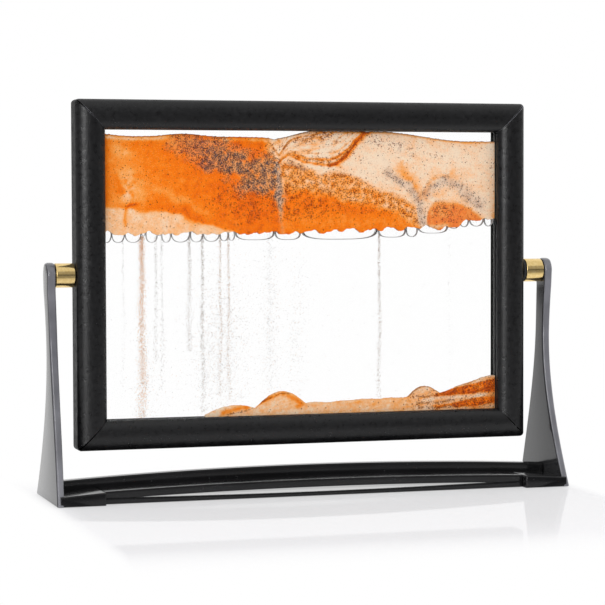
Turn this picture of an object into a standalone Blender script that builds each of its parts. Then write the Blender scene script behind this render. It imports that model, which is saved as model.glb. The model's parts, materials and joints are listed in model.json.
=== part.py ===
"""Moving sand art frame on a table stand.

A sealed glass cell of liquid and coloured sand sits in a mitred picture frame. The frame
turns end over end on two brass spindles held by the uprights of a low black stand.
Metres, +Z up, +X along the frame's long side, front of the object towards -Y. The origin
is on the table, under the middle of the stand.
"""

import math

import bmesh
import bpy
from mathutils import Vector

MM = 0.001

# Clearances
SEAT_GAP = 0.3 * MM          # between two pieces that rest on each other
RUNNING_GAP = 0.1 * MM       # radial, between a turned piece and its hole
BOOLEAN_OVERRUN = 1.0 * MM   # how far a cutter passes the face that it opens
SHARP_EDGE = math.radians(32.0)

# Picture frame
FRAME_WIDTH = 245.0 * MM
FRAME_HEIGHT = 179.4 * MM
FRAME_FACE = 15.5 * MM       # width of a member seen from the front
FRAME_CROWN = 4.8 * MM       # rise of the rounded front and back over the flat sides
FRAME_FLAT = 9.6 * MM        # depth of the flat outer side
FRAME_WALL = 1.4 * MM        # wall of the extruded profile
WALL_SHARE_FLAT = 0.35       # part of the wall taken from the flat side's half depth
WALL_SHARE_CROWN = 0.65      # part of the wall taken from the crown's rise
CROWN_STEPS = 14             # facets of a rounded face

# Sealed cell
PANE_THICKNESS = 1.9 * MM
CHAMBER_DEPTH = 2.6 * MM     # depth of liquid and sand
PANE_MARGIN = 6.5 * MM       # how far a pane runs into the frame past the sight edge
SPACER_SETBACK = 0.5 * MM    # spacer's inner edge behind the sight edge
GASKET_THICKNESS = 0.5 * MM
GASKET_BASE = 1.0 * MM
PLUG_LENGTH = 5.4 * MM
PLUG_INSET = 24.5 * MM       # plug's middle from the spacer's inner corner

# Upper sand, measured from the middle of the cell
SAND_TOP_DROP = 3.0 * MM     # mean height of the clear strip over it
SAND_TOP_WAVE = 2.5 * MM
SAND_TOP_CREST_X = 32.0 * MM
SAND_TOP_HALF_WAVE = 80.0 * MM
SAND_TOP_RIPPLE_HALF_WAVE = 31.0 * MM
SAND_TOP_RIPPLE_SHARE = 0.25
SAND_FLOOR_HEIGHT = 22.0 * MM
SAND_FLOOR_WAVE = 1.8 * MM
SAND_FLOOR_TILT = 3.0 * MM   # rise from the middle to the right edge
SAND_FLOOR_SCALLOP = 15.5 * MM

# Lower sand: a slope up to the right, with humps of (place, rise, width)
MOUND_START_X = -52.0 * MM
MOUND_EDGE = 0.6 * MM
MOUND_FOOT = 14.0 * MM       # length over which the humps set in
MOUND_RISE = 16.5 * MM
MOUND_RISE_POWER = 1.7
MOUND_HUMPS = (
    (-33.0 * MM, 3.5 * MM, 10.0 * MM),
    (-9.5 * MM, 9.0 * MM, 7.5 * MM),
    (66.0 * MM, 3.0 * MM, 5.5 * MM),
)
SAND_STEPS = 56

# Corner keys inside the extruded members
KEY_LEG = 24.0 * MM
KEY_THICKNESS = 5.4 * MM
KEY_DEPTH = 8.0 * MM

# Pivots
PIVOT_HEIGHT = 115.1 * MM
SPINDLE_DIAMETER = 12.5 * MM
SPINDLE_LENGTH = 9.9 * MM
SPINDLE_CHAMFER = 0.35 * MM
WASHER_THICKNESS = 1.2 * MM
JOURNAL_DIAMETER = 5.0 * MM
STUD_LENGTH = 2.6 * MM
PIVOT_BLOCK_HEIGHT = 24.0 * MM
PIVOT_BLOCK_DEPTH = 8.0 * MM
PIVOT_BLOCK_THICKNESS = 5.4 * MM
ROUND_STEPS = 40

# Uprights
UPRIGHT_THICKNESS = 4.5 * MM         # at the top
UPRIGHT_FOOT_THICKNESS = 3.6 * MM
UPRIGHT_HALF_DEPTH = 6.6 * MM        # at the pivot, and the radius of the top
UPRIGHT_WAIST_HEIGHT = 85.0 * MM
UPRIGHT_WAIST_HALF_DEPTH = 5.3 * MM
UPRIGHT_FOOT_HALF_DEPTH = 30.3 * MM
UPRIGHT_FLARE_EASE = 0.45
UPRIGHT_BOW_TOP = 8.0 * MM           # under the pivot, where the plate starts to bow
UPRIGHT_TUCK = 4.9 * MM              # inwards, in proportion to the way down
UPRIGHT_SPLAY = 5.8 * MM             # outwards, in proportion to its square
UPRIGHT_EDGE = 1.2 * MM
UPRIGHT_RINGS = 22
UPRIGHT_TOP_SHARES = (0.25, 0.45, 0.62, 0.76, 0.86, 0.93, 0.975)
EDGE_STEPS = 3
EDGE_LIMIT = 0.98            # largest corner radius as a share of half the section

# Foot blocks moulded on the uprights
FOOT_BLOCK_REACH = 20.4 * MM     # from the upright's inner face inwards
FOOT_BLOCK_TOP = 5.3 * MM
FOOT_BLOCK_INSET = 0.5 * MM      # front face behind the upright's front edge
FOOT_BLOCK_BEVEL = 0.7 * MM
FOOT_BLOCK_TIP_DROP = 0.35 * MM
FOOT_BLOCK_LIFT = 0.02 * MM      # keeps its underside clear of the upright's own

# Rubber pads and the base's clearance over the table
PAD_DIAMETER = 8.0 * MM
PAD_THICKNESS = 1.2 * MM
PAD_PROUD = 0.3 * MM
PAD_INSET_X = 7.0 * MM       # pad's middle inside the upright's inner face
PAD_INSET_Y = 8.8 * MM       # pad's middle behind the foot's front edge

# Crossbar, an arched inverted T
CROSSBAR_HALF_DEPTH = 24.7 * MM
LEDGE_ARC_RADIUS = 2920.0 * MM
LEDGE_HEIGHT = 8.9 * MM
LEDGE_THICKNESS = 2.0 * MM
LEDGE_BEVEL = 0.6 * MM
SKIRT_THICKNESS = 2.0 * MM
SKIRT_BOTTOM = 4.8 * MM
SKIRT_ARC_RADIUS = 3070.0 * MM
SKIRT_LEAST = 0.4 * MM
RIB_ARC_RADIUS = 2280.0 * MM
RIB_HEIGHT = 14.05 * MM
RIB_THICKNESS = 7.0 * MM
RIB_BEVEL = 0.8 * MM
RIB_SINK = 1.0 * MM
LEDGE_STATIONS = 25
RIB_STATIONS = 29

# Tie rails along the table
RAIL_DEPTH = 3.0 * MM
RAIL_MIDDLE_HEIGHT = 2.0 * MM
RAIL_END_HEIGHT = 3.2 * MM
RAIL_TONGUE_LENGTH = 7.0 * MM
RAIL_TONGUE_HEIGHT = 1.6 * MM
RAIL_STATIONS = 17

# Countersunk screws from under the foot blocks into the rib
SCREW_DIAMETER = 2.9 * MM
SCREW_HEAD_DIAMETER = 5.6 * MM
SCREW_HEAD_HEIGHT = 1.6 * MM
SCREW_LENGTH = 8.0 * MM
SCREW_RECESS = 0.5 * MM
SCREW_SLOT_WIDTH = 0.8 * MM
SCREW_SLOT_DEPTH = 0.7 * MM
SCREW_PITCH = 10.0 * MM
SCREW_STEPS = 20

# Worked out from the sizes above
HALF_WIDTH = FRAME_WIDTH / 2
HALF_HEIGHT = FRAME_HEIGHT / 2
SIGHT_X = HALF_WIDTH - FRAME_FACE
SIGHT_Z = HALF_HEIGHT - FRAME_FACE
PANE_X = SIGHT_X + PANE_MARGIN
PANE_Z = SIGHT_Z + PANE_MARGIN
CHAMBER_HALF = CHAMBER_DEPTH / 2
PANE_INNER_Y = CHAMBER_HALF + SEAT_GAP
PANE_OUTER_Y = PANE_INNER_Y + PANE_THICKNESS
GASKET_INNER_Y = PANE_OUTER_Y + SEAT_GAP
GASKET_OUTER_Y = GASKET_INNER_Y + GASKET_THICKNESS
SLOT_HALF = GASKET_OUTER_Y + SEAT_GAP
GASKET_X = PANE_X + SEAT_GAP + GASKET_BASE
GASKET_Z = PANE_Z + SEAT_GAP + GASKET_BASE
SPACER_X = SIGHT_X + SPACER_SETBACK
SPACER_Z = SIGHT_Z + SPACER_SETBACK
PLUG_X = SPACER_X - PLUG_INSET
PICTURE_SHIFT = (WASHER_THICKNESS + SEAT_GAP) / 2   # to the left, as only the right side has a washer
WASHER_X = HALF_WIDTH + SEAT_GAP
SPINDLE_X = HALF_WIDTH + SEAT_GAP + PICTURE_SHIFT
UPRIGHT_X = SPINDLE_X + SPINDLE_LENGTH + SEAT_GAP
PIVOT_BLOCK_X = HALF_WIDTH - FRAME_WALL - SEAT_GAP
JOURNAL_END_X = PIVOT_BLOCK_X - PIVOT_BLOCK_THICKNESS + SEAT_GAP + PICTURE_SHIFT
FOOT_BLOCK_X = UPRIGHT_X - FOOT_BLOCK_REACH
CROSSBAR_X = FOOT_BLOCK_X - SEAT_GAP
UPRIGHT_BOW_START = PIVOT_HEIGHT - UPRIGHT_BOW_TOP
RIB_SEAT = FOOT_BLOCK_TOP + SEAT_GAP
RAIL_X = FOOT_BLOCK_X - SEAT_GAP
SCREW_X = (FOOT_BLOCK_X + UPRIGHT_X) / 2
PAD_Y = UPRIGHT_FOOT_HALF_DEPTH - PAD_INSET_Y

# Finishes: colour, roughness, metallic, alpha
FINISHES = {
    "black_anodised": ((0.022, 0.022, 0.024), 0.45, 0.0, 1.0),
    "gloss_black": ((0.020, 0.020, 0.021), 0.12, 0.0, 1.0),
    "brass": ((0.74, 0.50, 0.17), 0.18, 1.0, 1.0),
    "steel": ((0.55, 0.55, 0.57), 0.30, 1.0, 1.0),
    "black_rubber": ((0.015, 0.015, 0.015), 0.80, 0.0, 1.0),
    "nylon": ((0.78, 0.77, 0.72), 0.50, 0.0, 1.0),
    "aluminium": ((0.62, 0.62, 0.64), 0.38, 1.0, 1.0),
    "glass": ((0.92, 0.96, 0.95), 0.03, 0.0, 0.15),
    "liquid": ((0.97, 0.98, 0.98), 0.02, 0.0, 0.12),
    "orange_sand": ((0.85, 0.30, 0.06), 0.85, 0.0, 1.0),
}


def clear_scene():
    """Remove whatever objects the file holds."""
    for item in list(bpy.data.objects):
        bpy.data.objects.remove(item, do_unlink=True)


def make_material(name, finish):
    """A Principled material of its own for one object."""
    colour, roughness, metallic, alpha = FINISHES[finish]
    material = bpy.data.materials.new(name)
    material.use_nodes = True
    shader = material.node_tree.nodes["Principled BSDF"]
    shader.inputs["Base Color"].default_value = (*colour, 1.0)
    shader.inputs["Roughness"].default_value = roughness
    shader.inputs["Metallic"].default_value = metallic
    shader.inputs["Alpha"].default_value = alpha
    material.diffuse_color = (*colour, alpha)
    return material


def add_piece(name, shape, finish, parent, location=(0.0, 0.0, 0.0)):
    """Turn a bmesh into a named object with its own material, under its parent empty."""
    bmesh.ops.recalc_face_normals(shape, faces=shape.faces)
    mesh = bpy.data.meshes.new(name)
    shape.to_mesh(mesh)
    shape.free()
    mesh.shade_smooth()
    mesh.set_sharp_from_angle(angle=SHARP_EDGE)
    mesh.materials.append(make_material(name, finish))
    piece = bpy.data.objects.new(name, mesh)
    bpy.context.scene.collection.objects.link(piece)
    piece.parent = parent
    piece.location = location
    return piece


def add_cutter(name, shape, parent, location=(0.0, 0.0, 0.0)):
    """A hidden shape that a Boolean uses."""
    bmesh.ops.recalc_face_normals(shape, faces=shape.faces)
    mesh = bpy.data.meshes.new(name)
    shape.to_mesh(mesh)
    shape.free()
    cutter = bpy.data.objects.new(name, mesh)
    bpy.context.scene.collection.objects.link(cutter)
    cutter.parent = parent
    cutter.location = location
    cutter.hide_render = True
    cutter.display_type = "WIRE"
    return cutter


def use_boolean(piece, cutter, operation="DIFFERENCE"):
    """Cut or join one shape with another by an exact Boolean."""
    modifier = piece.modifiers.new(cutter.name, "BOOLEAN")
    modifier.operation = operation
    modifier.solver = "EXACT"
    modifier.object = cutter


def add_empty(name, location=(0.0, 0.0, 0.0)):
    """A parent for the pieces of one body."""
    empty = bpy.data.objects.new(name, None)
    bpy.context.scene.collection.objects.link(empty)
    empty.location = location
    return empty


def skin(shape, rings, closed_path=False):
    """Join rings of points by quads, and cap the ends unless the path closes on itself."""
    loops = [[shape.verts.new(point) for point in ring] for ring in rings]
    pairs = list(zip(loops, loops[1:]))
    if closed_path:
        pairs.append((loops[-1], loops[0]))
    for first, second in pairs:
        count = len(first)
        for index in range(count):
            following = (index + 1) % count
            shape.faces.new((first[index], first[following], second[following], second[index]))
    if not closed_path:
        shape.faces.new(loops[0])
        shape.faces.new(list(reversed(loops[-1])))
    return shape


def box(shape, low, high):
    """An upright box between two corners."""
    (x0, y0, z0), (x1, y1, z1) = low, high
    lower = [(x0, y0, z0), (x1, y0, z0), (x1, y1, z0), (x0, y1, z0)]
    upper = [(x, y, z1) for x, y, _ in lower]
    return skin(shape, [lower, upper])


def turned(shape, profile, axis, steps, closed_profile=False):
    """Turn a profile of (distance along the axis, radius) about the X or Z axis."""
    rings = []
    for along, radius in profile:
        ring = []
        for step in range(steps):
            angle = math.tau * step / steps
            across = (radius * math.cos(angle), radius * math.sin(angle))
            if axis == "X":
                ring.append((along, across[0], across[1]))
            else:
                ring.append((across[0], across[1], along))
        rings.append(ring)
    return skin(shape, rings, closed_path=closed_profile)


def rounded_rectangle(centre_x, width, half_depth, height, radius):
    """A ring round an upright at one height, with rounded corners."""
    limit = min(width / 2, half_depth) * EDGE_LIMIT
    corner = min(radius, limit)
    ring = []
    for turn in range(4):
        sign_x = 1 if turn in (0, 3) else -1
        sign_y = 1 if turn in (0, 1) else -1
        corner_x = centre_x + sign_x * (width / 2 - corner)
        corner_y = sign_y * (half_depth - corner)
        for step in range(EDGE_STEPS + 1):
            angle = math.pi / 2 * (turn + step / EDGE_STEPS)
            x = corner_x + corner * math.cos(angle)
            y = corner_y + corner * math.sin(angle)
            ring.append((x, y, height))
    return ring


def arc_drop(x, radius):
    """How far an arc of this radius has dropped at a distance from its middle."""
    return radius - math.sqrt(radius * radius - x * x)


def spread(start, end, count):
    """Evenly spaced values, both ends included."""
    return [start + (end - start) * step / (count - 1) for step in range(count)]


# Frame members


def member_profile():
    """The extruded profile: across the face from the outer edge, and through the depth."""
    half_face = FRAME_FACE / 2
    half_flat = FRAME_FLAT / 2

    def crown(inset, start_angle, end_angle, side):
        points = []
        flat = half_flat - inset * WALL_SHARE_FLAT
        rise = FRAME_CROWN - inset * WALL_SHARE_CROWN
        for angle in spread(start_angle, end_angle, CROWN_STEPS + 1):
            across = half_face + (half_face - inset) * math.cos(angle)
            points.append((across, side * (flat + rise * math.sin(angle))))
        return points

    outer = [(FRAME_FACE, -SLOT_HALF)]
    outer += crown(0.0, 0.0, math.pi, -1)
    outer += crown(0.0, math.pi, 0.0, 1)
    outer += [(FRAME_FACE, SLOT_HALF)]
    lip = FRAME_FACE - FRAME_WALL
    inner = [(lip, SLOT_HALF)]
    inner += crown(FRAME_WALL, 0.0, math.pi, 1)[1:]
    inner += crown(FRAME_WALL, math.pi, 0.0, -1)[:-1]
    inner += [(lip, -SLOT_HALF)]
    return outer + inner


def frame_member(name, half_length, offset, upright_member, side, pivot):
    """One mitred side of the frame, its outer face at the given offset from the middle."""
    mitre_gap = SEAT_GAP / 2
    rings = []
    for end in (-1, 1):
        ring = []
        for across, depth in member_profile():
            along = end * (half_length - across - mitre_gap)
            out = side * (offset - across)
            ring.append((out, depth, along) if upright_member else (along, depth, out))
        rings.append(ring)
    return add_piece(name, skin(bmesh.new(), rings), "black_anodised", pivot)


def build_frame(pivot):
    """Four mitred members, the bores for the spindles, and the keys in their corners."""
    frame_member("frame_top", HALF_WIDTH, HALF_HEIGHT, False, 1, pivot)
    frame_member("frame_bottom", HALF_WIDTH, HALF_HEIGHT, False, -1, pivot)
    for side, word in ((-1, "left"), (1, "right")):
        member = frame_member("frame_" + word, HALF_HEIGHT, HALF_WIDTH, True, side, pivot)
        bore = JOURNAL_DIAMETER / 2 + SEAT_GAP
        reach = HALF_WIDTH + BOOLEAN_OVERRUN
        inside = HALF_WIDTH - FRAME_WALL - BOOLEAN_OVERRUN
        hole = turned(bmesh.new(), [(side * inside, bore), (side * reach, bore)], "X", ROUND_STEPS)
        use_boolean(member, add_cutter("cut_bore_" + word, hole, pivot))
        for up, height in ((1, "top"), (-1, "bottom")):
            corner_key("corner_key_{}_{}".format(height, word), side, up, pivot)


def corner_key(name, side, up, pivot):
    """An L-shaped key that joins two members through their hollow."""
    inset = FRAME_WALL + SEAT_GAP
    outer_x = HALF_WIDTH - inset
    outer_z = HALF_HEIGHT - inset
    inner_x = outer_x - KEY_THICKNESS
    inner_z = outer_z - KEY_THICKNESS
    outline = [
        (outer_x - KEY_LEG, outer_z),
        (outer_x, outer_z),
        (outer_x, outer_z - KEY_LEG),
        (inner_x, outer_z - KEY_LEG),
        (inner_x, inner_z),
        (outer_x - KEY_LEG, inner_z),
    ]
    rings = []
    for depth in (-KEY_DEPTH / 2, KEY_DEPTH / 2):
        rings.append([(side * x, depth, up * z) for x, z in outline])
    return add_piece(name, skin(bmesh.new(), rings), "aluminium", pivot)


# Sealed cell


def rectangle_ring(half_x, half_z, depth):
    """Four corners at one depth."""
    corners = ((-1, -1), (1, -1), (1, 1), (-1, 1))
    return [(right * half_x, depth, up * half_z) for right, up in corners]


def build_cell(pivot):
    """Two panes, the spacer between them with its plug, and the gasket round their edge."""
    for side, word in ((-1, "front"), (1, "rear")):
        depths = (side * PANE_INNER_Y, side * PANE_OUTER_Y)
        rings = [rectangle_ring(PANE_X, PANE_Z, depth) for depth in depths]
        add_piece(word + "_pane", skin(bmesh.new(), rings), "glass", pivot)

    outer_x = PANE_X - SEAT_GAP
    outer_z = PANE_Z - SEAT_GAP
    spacer_rings = [
        rectangle_ring(outer_x, outer_z, -CHAMBER_HALF),
        rectangle_ring(SPACER_X, SPACER_Z, -CHAMBER_HALF),
        rectangle_ring(SPACER_X, SPACER_Z, CHAMBER_HALF),
        rectangle_ring(outer_x, outer_z, CHAMBER_HALF),
    ]
    spacer_shape = skin(bmesh.new(), spacer_rings, closed_path=True)
    spacer = add_piece("cell_spacer", spacer_shape, "black_rubber", pivot)
    half_port = PLUG_LENGTH / 2 + SEAT_GAP
    port = box(
        bmesh.new(),
        (PLUG_X - half_port, -CHAMBER_DEPTH, SPACER_Z - BOOLEAN_OVERRUN),
        (PLUG_X + half_port, CHAMBER_DEPTH, outer_z + BOOLEAN_OVERRUN),
    )
    use_boolean(spacer, add_cutter("cut_fill_port", port, pivot))
    plug = box(
        bmesh.new(),
        (PLUG_X - PLUG_LENGTH / 2, -CHAMBER_HALF, SPACER_Z),
        (PLUG_X + PLUG_LENGTH / 2, CHAMBER_HALF, outer_z),
    )
    add_piece("fill_plug", plug, "nylon", pivot)

    lip_x = SIGHT_X + SEAT_GAP
    lip_z = SIGHT_Z + SEAT_GAP
    channel = [
        (lip_x, lip_z, -GASKET_OUTER_Y),
        (lip_x, lip_z, -GASKET_INNER_Y),
        (PANE_X + SEAT_GAP, PANE_Z + SEAT_GAP, -GASKET_INNER_Y),
        (PANE_X + SEAT_GAP, PANE_Z + SEAT_GAP, GASKET_INNER_Y),
        (lip_x, lip_z, GASKET_INNER_Y),
        (lip_x, lip_z, GASKET_OUTER_Y),
        (GASKET_X, GASKET_Z, GASKET_OUTER_Y),
        (GASKET_X, GASKET_Z, -GASKET_OUTER_Y),
    ]
    gasket = skin(bmesh.new(), [rectangle_ring(*corner) for corner in channel], closed_path=True)
    add_piece("glazing_gasket", gasket, "black_rubber", pivot)


def sand_top(x):
    """Upper edge of the sand still held up by the bubbles."""
    swell = math.cos(math.pi * (x - SAND_TOP_CREST_X) / SAND_TOP_HALF_WAVE)
    ripple = math.sin(math.pi * x / SAND_TOP_RIPPLE_HALF_WAVE)
    wave = (1.0 - SAND_TOP_RIPPLE_SHARE) * swell + SAND_TOP_RIPPLE_SHARE * ripple
    return SIGHT_Z - SAND_TOP_DROP + SAND_TOP_WAVE * wave


def sand_floor(x):
    """Lower edge of that sand, scalloped by the bubbles under it."""
    tilt = SAND_FLOOR_TILT * x / SIGHT_X
    scallop = abs(math.sin(math.pi * x / SAND_FLOOR_SCALLOP))
    return SAND_FLOOR_HEIGHT + tilt + SAND_FLOOR_WAVE * scallop


def mound_top(x):
    """Surface of the sand that has come down."""
    run = max(0.0, x - MOUND_START_X)
    slope = MOUND_RISE * (run / (SPACER_X - MOUND_START_X)) ** MOUND_RISE_POWER
    foot = min(1.0, run / MOUND_FOOT)
    humps = 0.0
    for place, rise, width in MOUND_HUMPS:
        humps += rise * math.exp(-((x - place) / width) ** 2)
    return -SPACER_Z + SEAT_GAP + MOUND_EDGE + slope + foot * humps


def build_contents(pivot):
    """The upper and lower sand, and the liquid round them."""
    wall_x = SPACER_X - SEAT_GAP
    wall_z = SPACER_Z - SEAT_GAP
    bank_x = wall_x - 2 * SEAT_GAP
    across = spread(-bank_x, wall_x, SAND_STEPS)
    mound = spread(MOUND_START_X, wall_x, SAND_STEPS // 2)

    def slab(outline):
        depths = (-CHAMBER_HALF, CHAMBER_HALF)
        return skin(bmesh.new(), [[(x, depth, z) for x, z in outline] for depth in depths])

    upper = [(x, sand_top(x)) for x in across] + [(x, sand_floor(x)) for x in reversed(across)]
    add_piece("sand_upper", slab(upper), "orange_sand", pivot)
    lower = [(x, mound_top(x)) for x in mound]
    lower += [(wall_x, -wall_z), (MOUND_START_X, -wall_z)]
    add_piece("sand_lower", slab(lower), "orange_sand", pivot)

    liquid = [(-wall_x, -wall_z), (-wall_x, wall_z), (wall_x, wall_z)]
    liquid += [(x, sand_top(x) + SEAT_GAP) for x in reversed(across)]
    beside_upper = -bank_x - SEAT_GAP
    liquid += [(beside_upper, sand_top(-bank_x)), (beside_upper, sand_floor(-bank_x))]
    liquid += [(x, sand_floor(x) - SEAT_GAP) for x in across]
    liquid += [(x, mound_top(x) + SEAT_GAP) for x in reversed(mound)]
    beside_mound = MOUND_START_X - SEAT_GAP
    liquid += [(beside_mound, mound_top(MOUND_START_X)), (beside_mound, -wall_z)]
    add_piece("clear_liquid", slab(liquid), "liquid", pivot)


# Pivots


def build_pivots(stand, pivot):
    """A brass spindle held in each upright, the block that turns on it, and one washer."""
    radius = SPINDLE_DIAMETER / 2
    journal = JOURNAL_DIAMETER / 2
    barrel_end = SPINDLE_X + SPINDLE_LENGTH
    for side, word in ((-1, "left"), (1, "right")):
        profile = [
            (JOURNAL_END_X, journal),
            (SPINDLE_X, journal),
            (SPINDLE_X, radius - SPINDLE_CHAMFER),
            (SPINDLE_X + SPINDLE_CHAMFER, radius),
            (barrel_end - SPINDLE_CHAMFER, radius),
            (barrel_end, radius - SPINDLE_CHAMFER),
            (barrel_end, journal),
            (barrel_end + SEAT_GAP + STUD_LENGTH, journal),
        ]
        profile = [(side * along, size) for along, size in profile]
        spindle = turned(bmesh.new(), profile, "X", ROUND_STEPS)
        add_piece(word + "_spindle", spindle, "brass", stand, (0.0, 0.0, PIVOT_HEIGHT))

        inner = PIVOT_BLOCK_X - PIVOT_BLOCK_THICKNESS
        faces = sorted((side * inner, side * PIVOT_BLOCK_X))
        low = (faces[0], -PIVOT_BLOCK_DEPTH / 2, -PIVOT_BLOCK_HEIGHT / 2)
        high = (faces[1], PIVOT_BLOCK_DEPTH / 2, PIVOT_BLOCK_HEIGHT / 2)
        block = add_piece(word + "_pivot_block", box(bmesh.new(), low, high), "nylon", pivot)
        bore = journal + RUNNING_GAP
        ends = (side * (inner - BOOLEAN_OVERRUN), side * (PIVOT_BLOCK_X + BOOLEAN_OVERRUN))
        cutter = turned(bmesh.new(), [(ends[0], bore), (ends[1], bore)], "X", ROUND_STEPS)
        use_boolean(block, add_cutter("cut_journal_" + word, cutter, pivot))

    hole = journal + SEAT_GAP
    far_face = WASHER_X + WASHER_THICKNESS
    rim = [(WASHER_X, hole), (WASHER_X, radius), (far_face, radius), (far_face, hole)]
    washer = turned(bmesh.new(), rim, "X", ROUND_STEPS, closed_profile=True)
    add_piece("right_friction_washer", washer, "black_rubber", pivot)


# Stand


def upright_inner(height):
    """Inner face of an upright: slightly bowed, and splayed towards the foot."""
    below = max(0.0, (UPRIGHT_BOW_START - height) / UPRIGHT_BOW_START)
    return UPRIGHT_X + UPRIGHT_SPLAY * below * below - UPRIGHT_TUCK * below


def upright_thickness(height):
    """Thickness of an upright, which thins evenly from the pivot to the foot."""
    share = min(1.0, height / PIVOT_HEIGHT)
    return UPRIGHT_FOOT_THICKNESS + share * (UPRIGHT_THICKNESS - UPRIGHT_FOOT_THICKNESS)


def upright_half_depth(height):
    """Half depth of an upright: narrowest at the waist, flared towards the foot."""
    if height < UPRIGHT_WAIST_HEIGHT:
        below = (UPRIGHT_WAIST_HEIGHT - height) / UPRIGHT_WAIST_HEIGHT
        flare = below * below * (1.0 + UPRIGHT_FLARE_EASE - UPRIGHT_FLARE_EASE * below)
        return UPRIGHT_WAIST_HALF_DEPTH + flare * (UPRIGHT_FOOT_HALF_DEPTH - UPRIGHT_WAIST_HALF_DEPTH)
    above = (height - UPRIGHT_WAIST_HEIGHT) / (PIVOT_HEIGHT - UPRIGHT_WAIST_HEIGHT)
    return UPRIGHT_WAIST_HALF_DEPTH + above * above * (UPRIGHT_HALF_DEPTH - UPRIGHT_WAIST_HALF_DEPTH)


def upright_rings(side):
    """Rings from the foot to the rounded top of one upright."""
    rings = []
    for height in spread(PAD_PROUD, PIVOT_HEIGHT, UPRIGHT_RINGS):
        thickness = upright_thickness(height)
        centre = side * (upright_inner(height) + thickness / 2)
        half_depth = upright_half_depth(height)
        rings.append(rounded_rectangle(centre, thickness, half_depth, height, UPRIGHT_EDGE))
    centre = side * (UPRIGHT_X + UPRIGHT_THICKNESS / 2)
    radius = UPRIGHT_HALF_DEPTH
    for share in UPRIGHT_TOP_SHARES:
        height = PIVOT_HEIGHT + radius * share
        half_depth = radius * math.sqrt(1.0 - share * share)
        lift = max(0.0, UPRIGHT_EDGE - radius * (1.0 - share))
        trim = UPRIGHT_EDGE - math.sqrt(UPRIGHT_EDGE * UPRIGHT_EDGE - lift * lift)
        width = UPRIGHT_THICKNESS - 2 * trim
        rings.append(rounded_rectangle(centre, width, half_depth, height, UPRIGHT_EDGE))
    return rings


def screw_places(side):
    """The two screws of one side, in a line along the rib."""
    return [(side * (SCREW_X + shift), 0.0) for shift in (-SCREW_PITCH / 2, SCREW_PITCH / 2)]


def pad_places(side):
    """The two rubber pads of one side."""
    return [(side * (UPRIGHT_X - PAD_INSET_X), turn * PAD_Y) for turn in (-1, 1)]


def at(shape, x, y, z=0.0):
    """Move a turned shape to its place."""
    bmesh.ops.translate(shape, verts=shape.verts, vec=Vector((x, y, z)))
    return shape


def foot_block(side):
    """The block at an upright's foot that reaches inwards under the crossbar's rib."""
    edge = FOOT_BLOCK_BEVEL
    depth = upright_half_depth(PAD_PROUD) - FOOT_BLOCK_INSET
    underside = PAD_PROUD + FOOT_BLOCK_LIFT
    outline = [
        (-depth, underside),
        (-depth, FOOT_BLOCK_TOP - edge),
        (-depth + edge, FOOT_BLOCK_TOP),
        (depth - edge, FOOT_BLOCK_TOP),
        (depth, FOOT_BLOCK_TOP - edge),
        (depth, underside),
    ]
    root = side * (upright_inner(PAD_PROUD) + upright_thickness(PAD_PROUD) / 2)
    tip = side * FOOT_BLOCK_X
    rings = [[(x, y, z) for y, z in outline] for x in (root, tip + side * edge)]
    narrowed = []
    for y, z in outline:
        drop = 0.0 if z == underside else FOOT_BLOCK_TIP_DROP
        narrowed.append((tip, y * (1.0 - edge / depth), z - drop))
    rings.append(narrowed)
    return skin(bmesh.new(), rings)


def rail_seats(side):
    """Two slots under a foot block for the tongues of the tie rails."""
    seats = []
    near, far = sorted((
        side * (FOOT_BLOCK_X - BOOLEAN_OVERRUN),
        side * (FOOT_BLOCK_X + RAIL_TONGUE_LENGTH + SEAT_GAP),
    ))
    for turn in (-1, 1):
        front, back = sorted((
            turn * (CROSSBAR_HALF_DEPTH + SEAT_GAP),
            turn * (CROSSBAR_HALF_DEPTH - RAIL_DEPTH - SEAT_GAP),
        ))
        roof = PAD_PROUD + RAIL_TONGUE_HEIGHT + SEAT_GAP
        seats.append(box(bmesh.new(), (near, front, -BOOLEAN_OVERRUN), (far, back, roof)))
    return seats


def build_upright(side, word, stand):
    """One upright with its foot block, bored for the spindle and cut for what it carries."""
    body = skin(bmesh.new(), upright_rings(side))
    upright = add_piece(word + "_upright", body, "gloss_black", stand)
    use_boolean(upright, add_cutter("join_foot_block_" + word, foot_block(side), stand), "UNION")

    bore = JOURNAL_DIAMETER / 2 + RUNNING_GAP
    mouth = side * (UPRIGHT_X - BOOLEAN_OVERRUN)
    stud_end = side * (UPRIGHT_X + STUD_LENGTH + SEAT_GAP)
    stud = turned(bmesh.new(), [(mouth, bore), (stud_end, bore)], "X", ROUND_STEPS)
    shapes = [at(stud, 0.0, 0.0, PIVOT_HEIGHT)]
    shapes += [at(screw_hole(), x, y) for x, y in screw_places(side)]
    recess = PAD_DIAMETER / 2 + SEAT_GAP
    recess_ends = [(-BOOLEAN_OVERRUN, recess), (PAD_THICKNESS + SEAT_GAP, recess)]
    for x, y in pad_places(side):
        shapes.append(at(turned(bmesh.new(), recess_ends, "Z", ROUND_STEPS), x, y))
    shapes += rail_seats(side)
    cuts = bmesh.new()
    for piece in shapes:
        bmesh.ops.recalc_face_normals(piece, faces=piece.faces)
        part = bpy.data.meshes.new("cut_part")
        piece.to_mesh(part)
        piece.free()
        cuts.from_mesh(part)
        bpy.data.meshes.remove(part)
    use_boolean(upright, add_cutter("cut_upright_" + word, cuts, stand))


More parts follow.
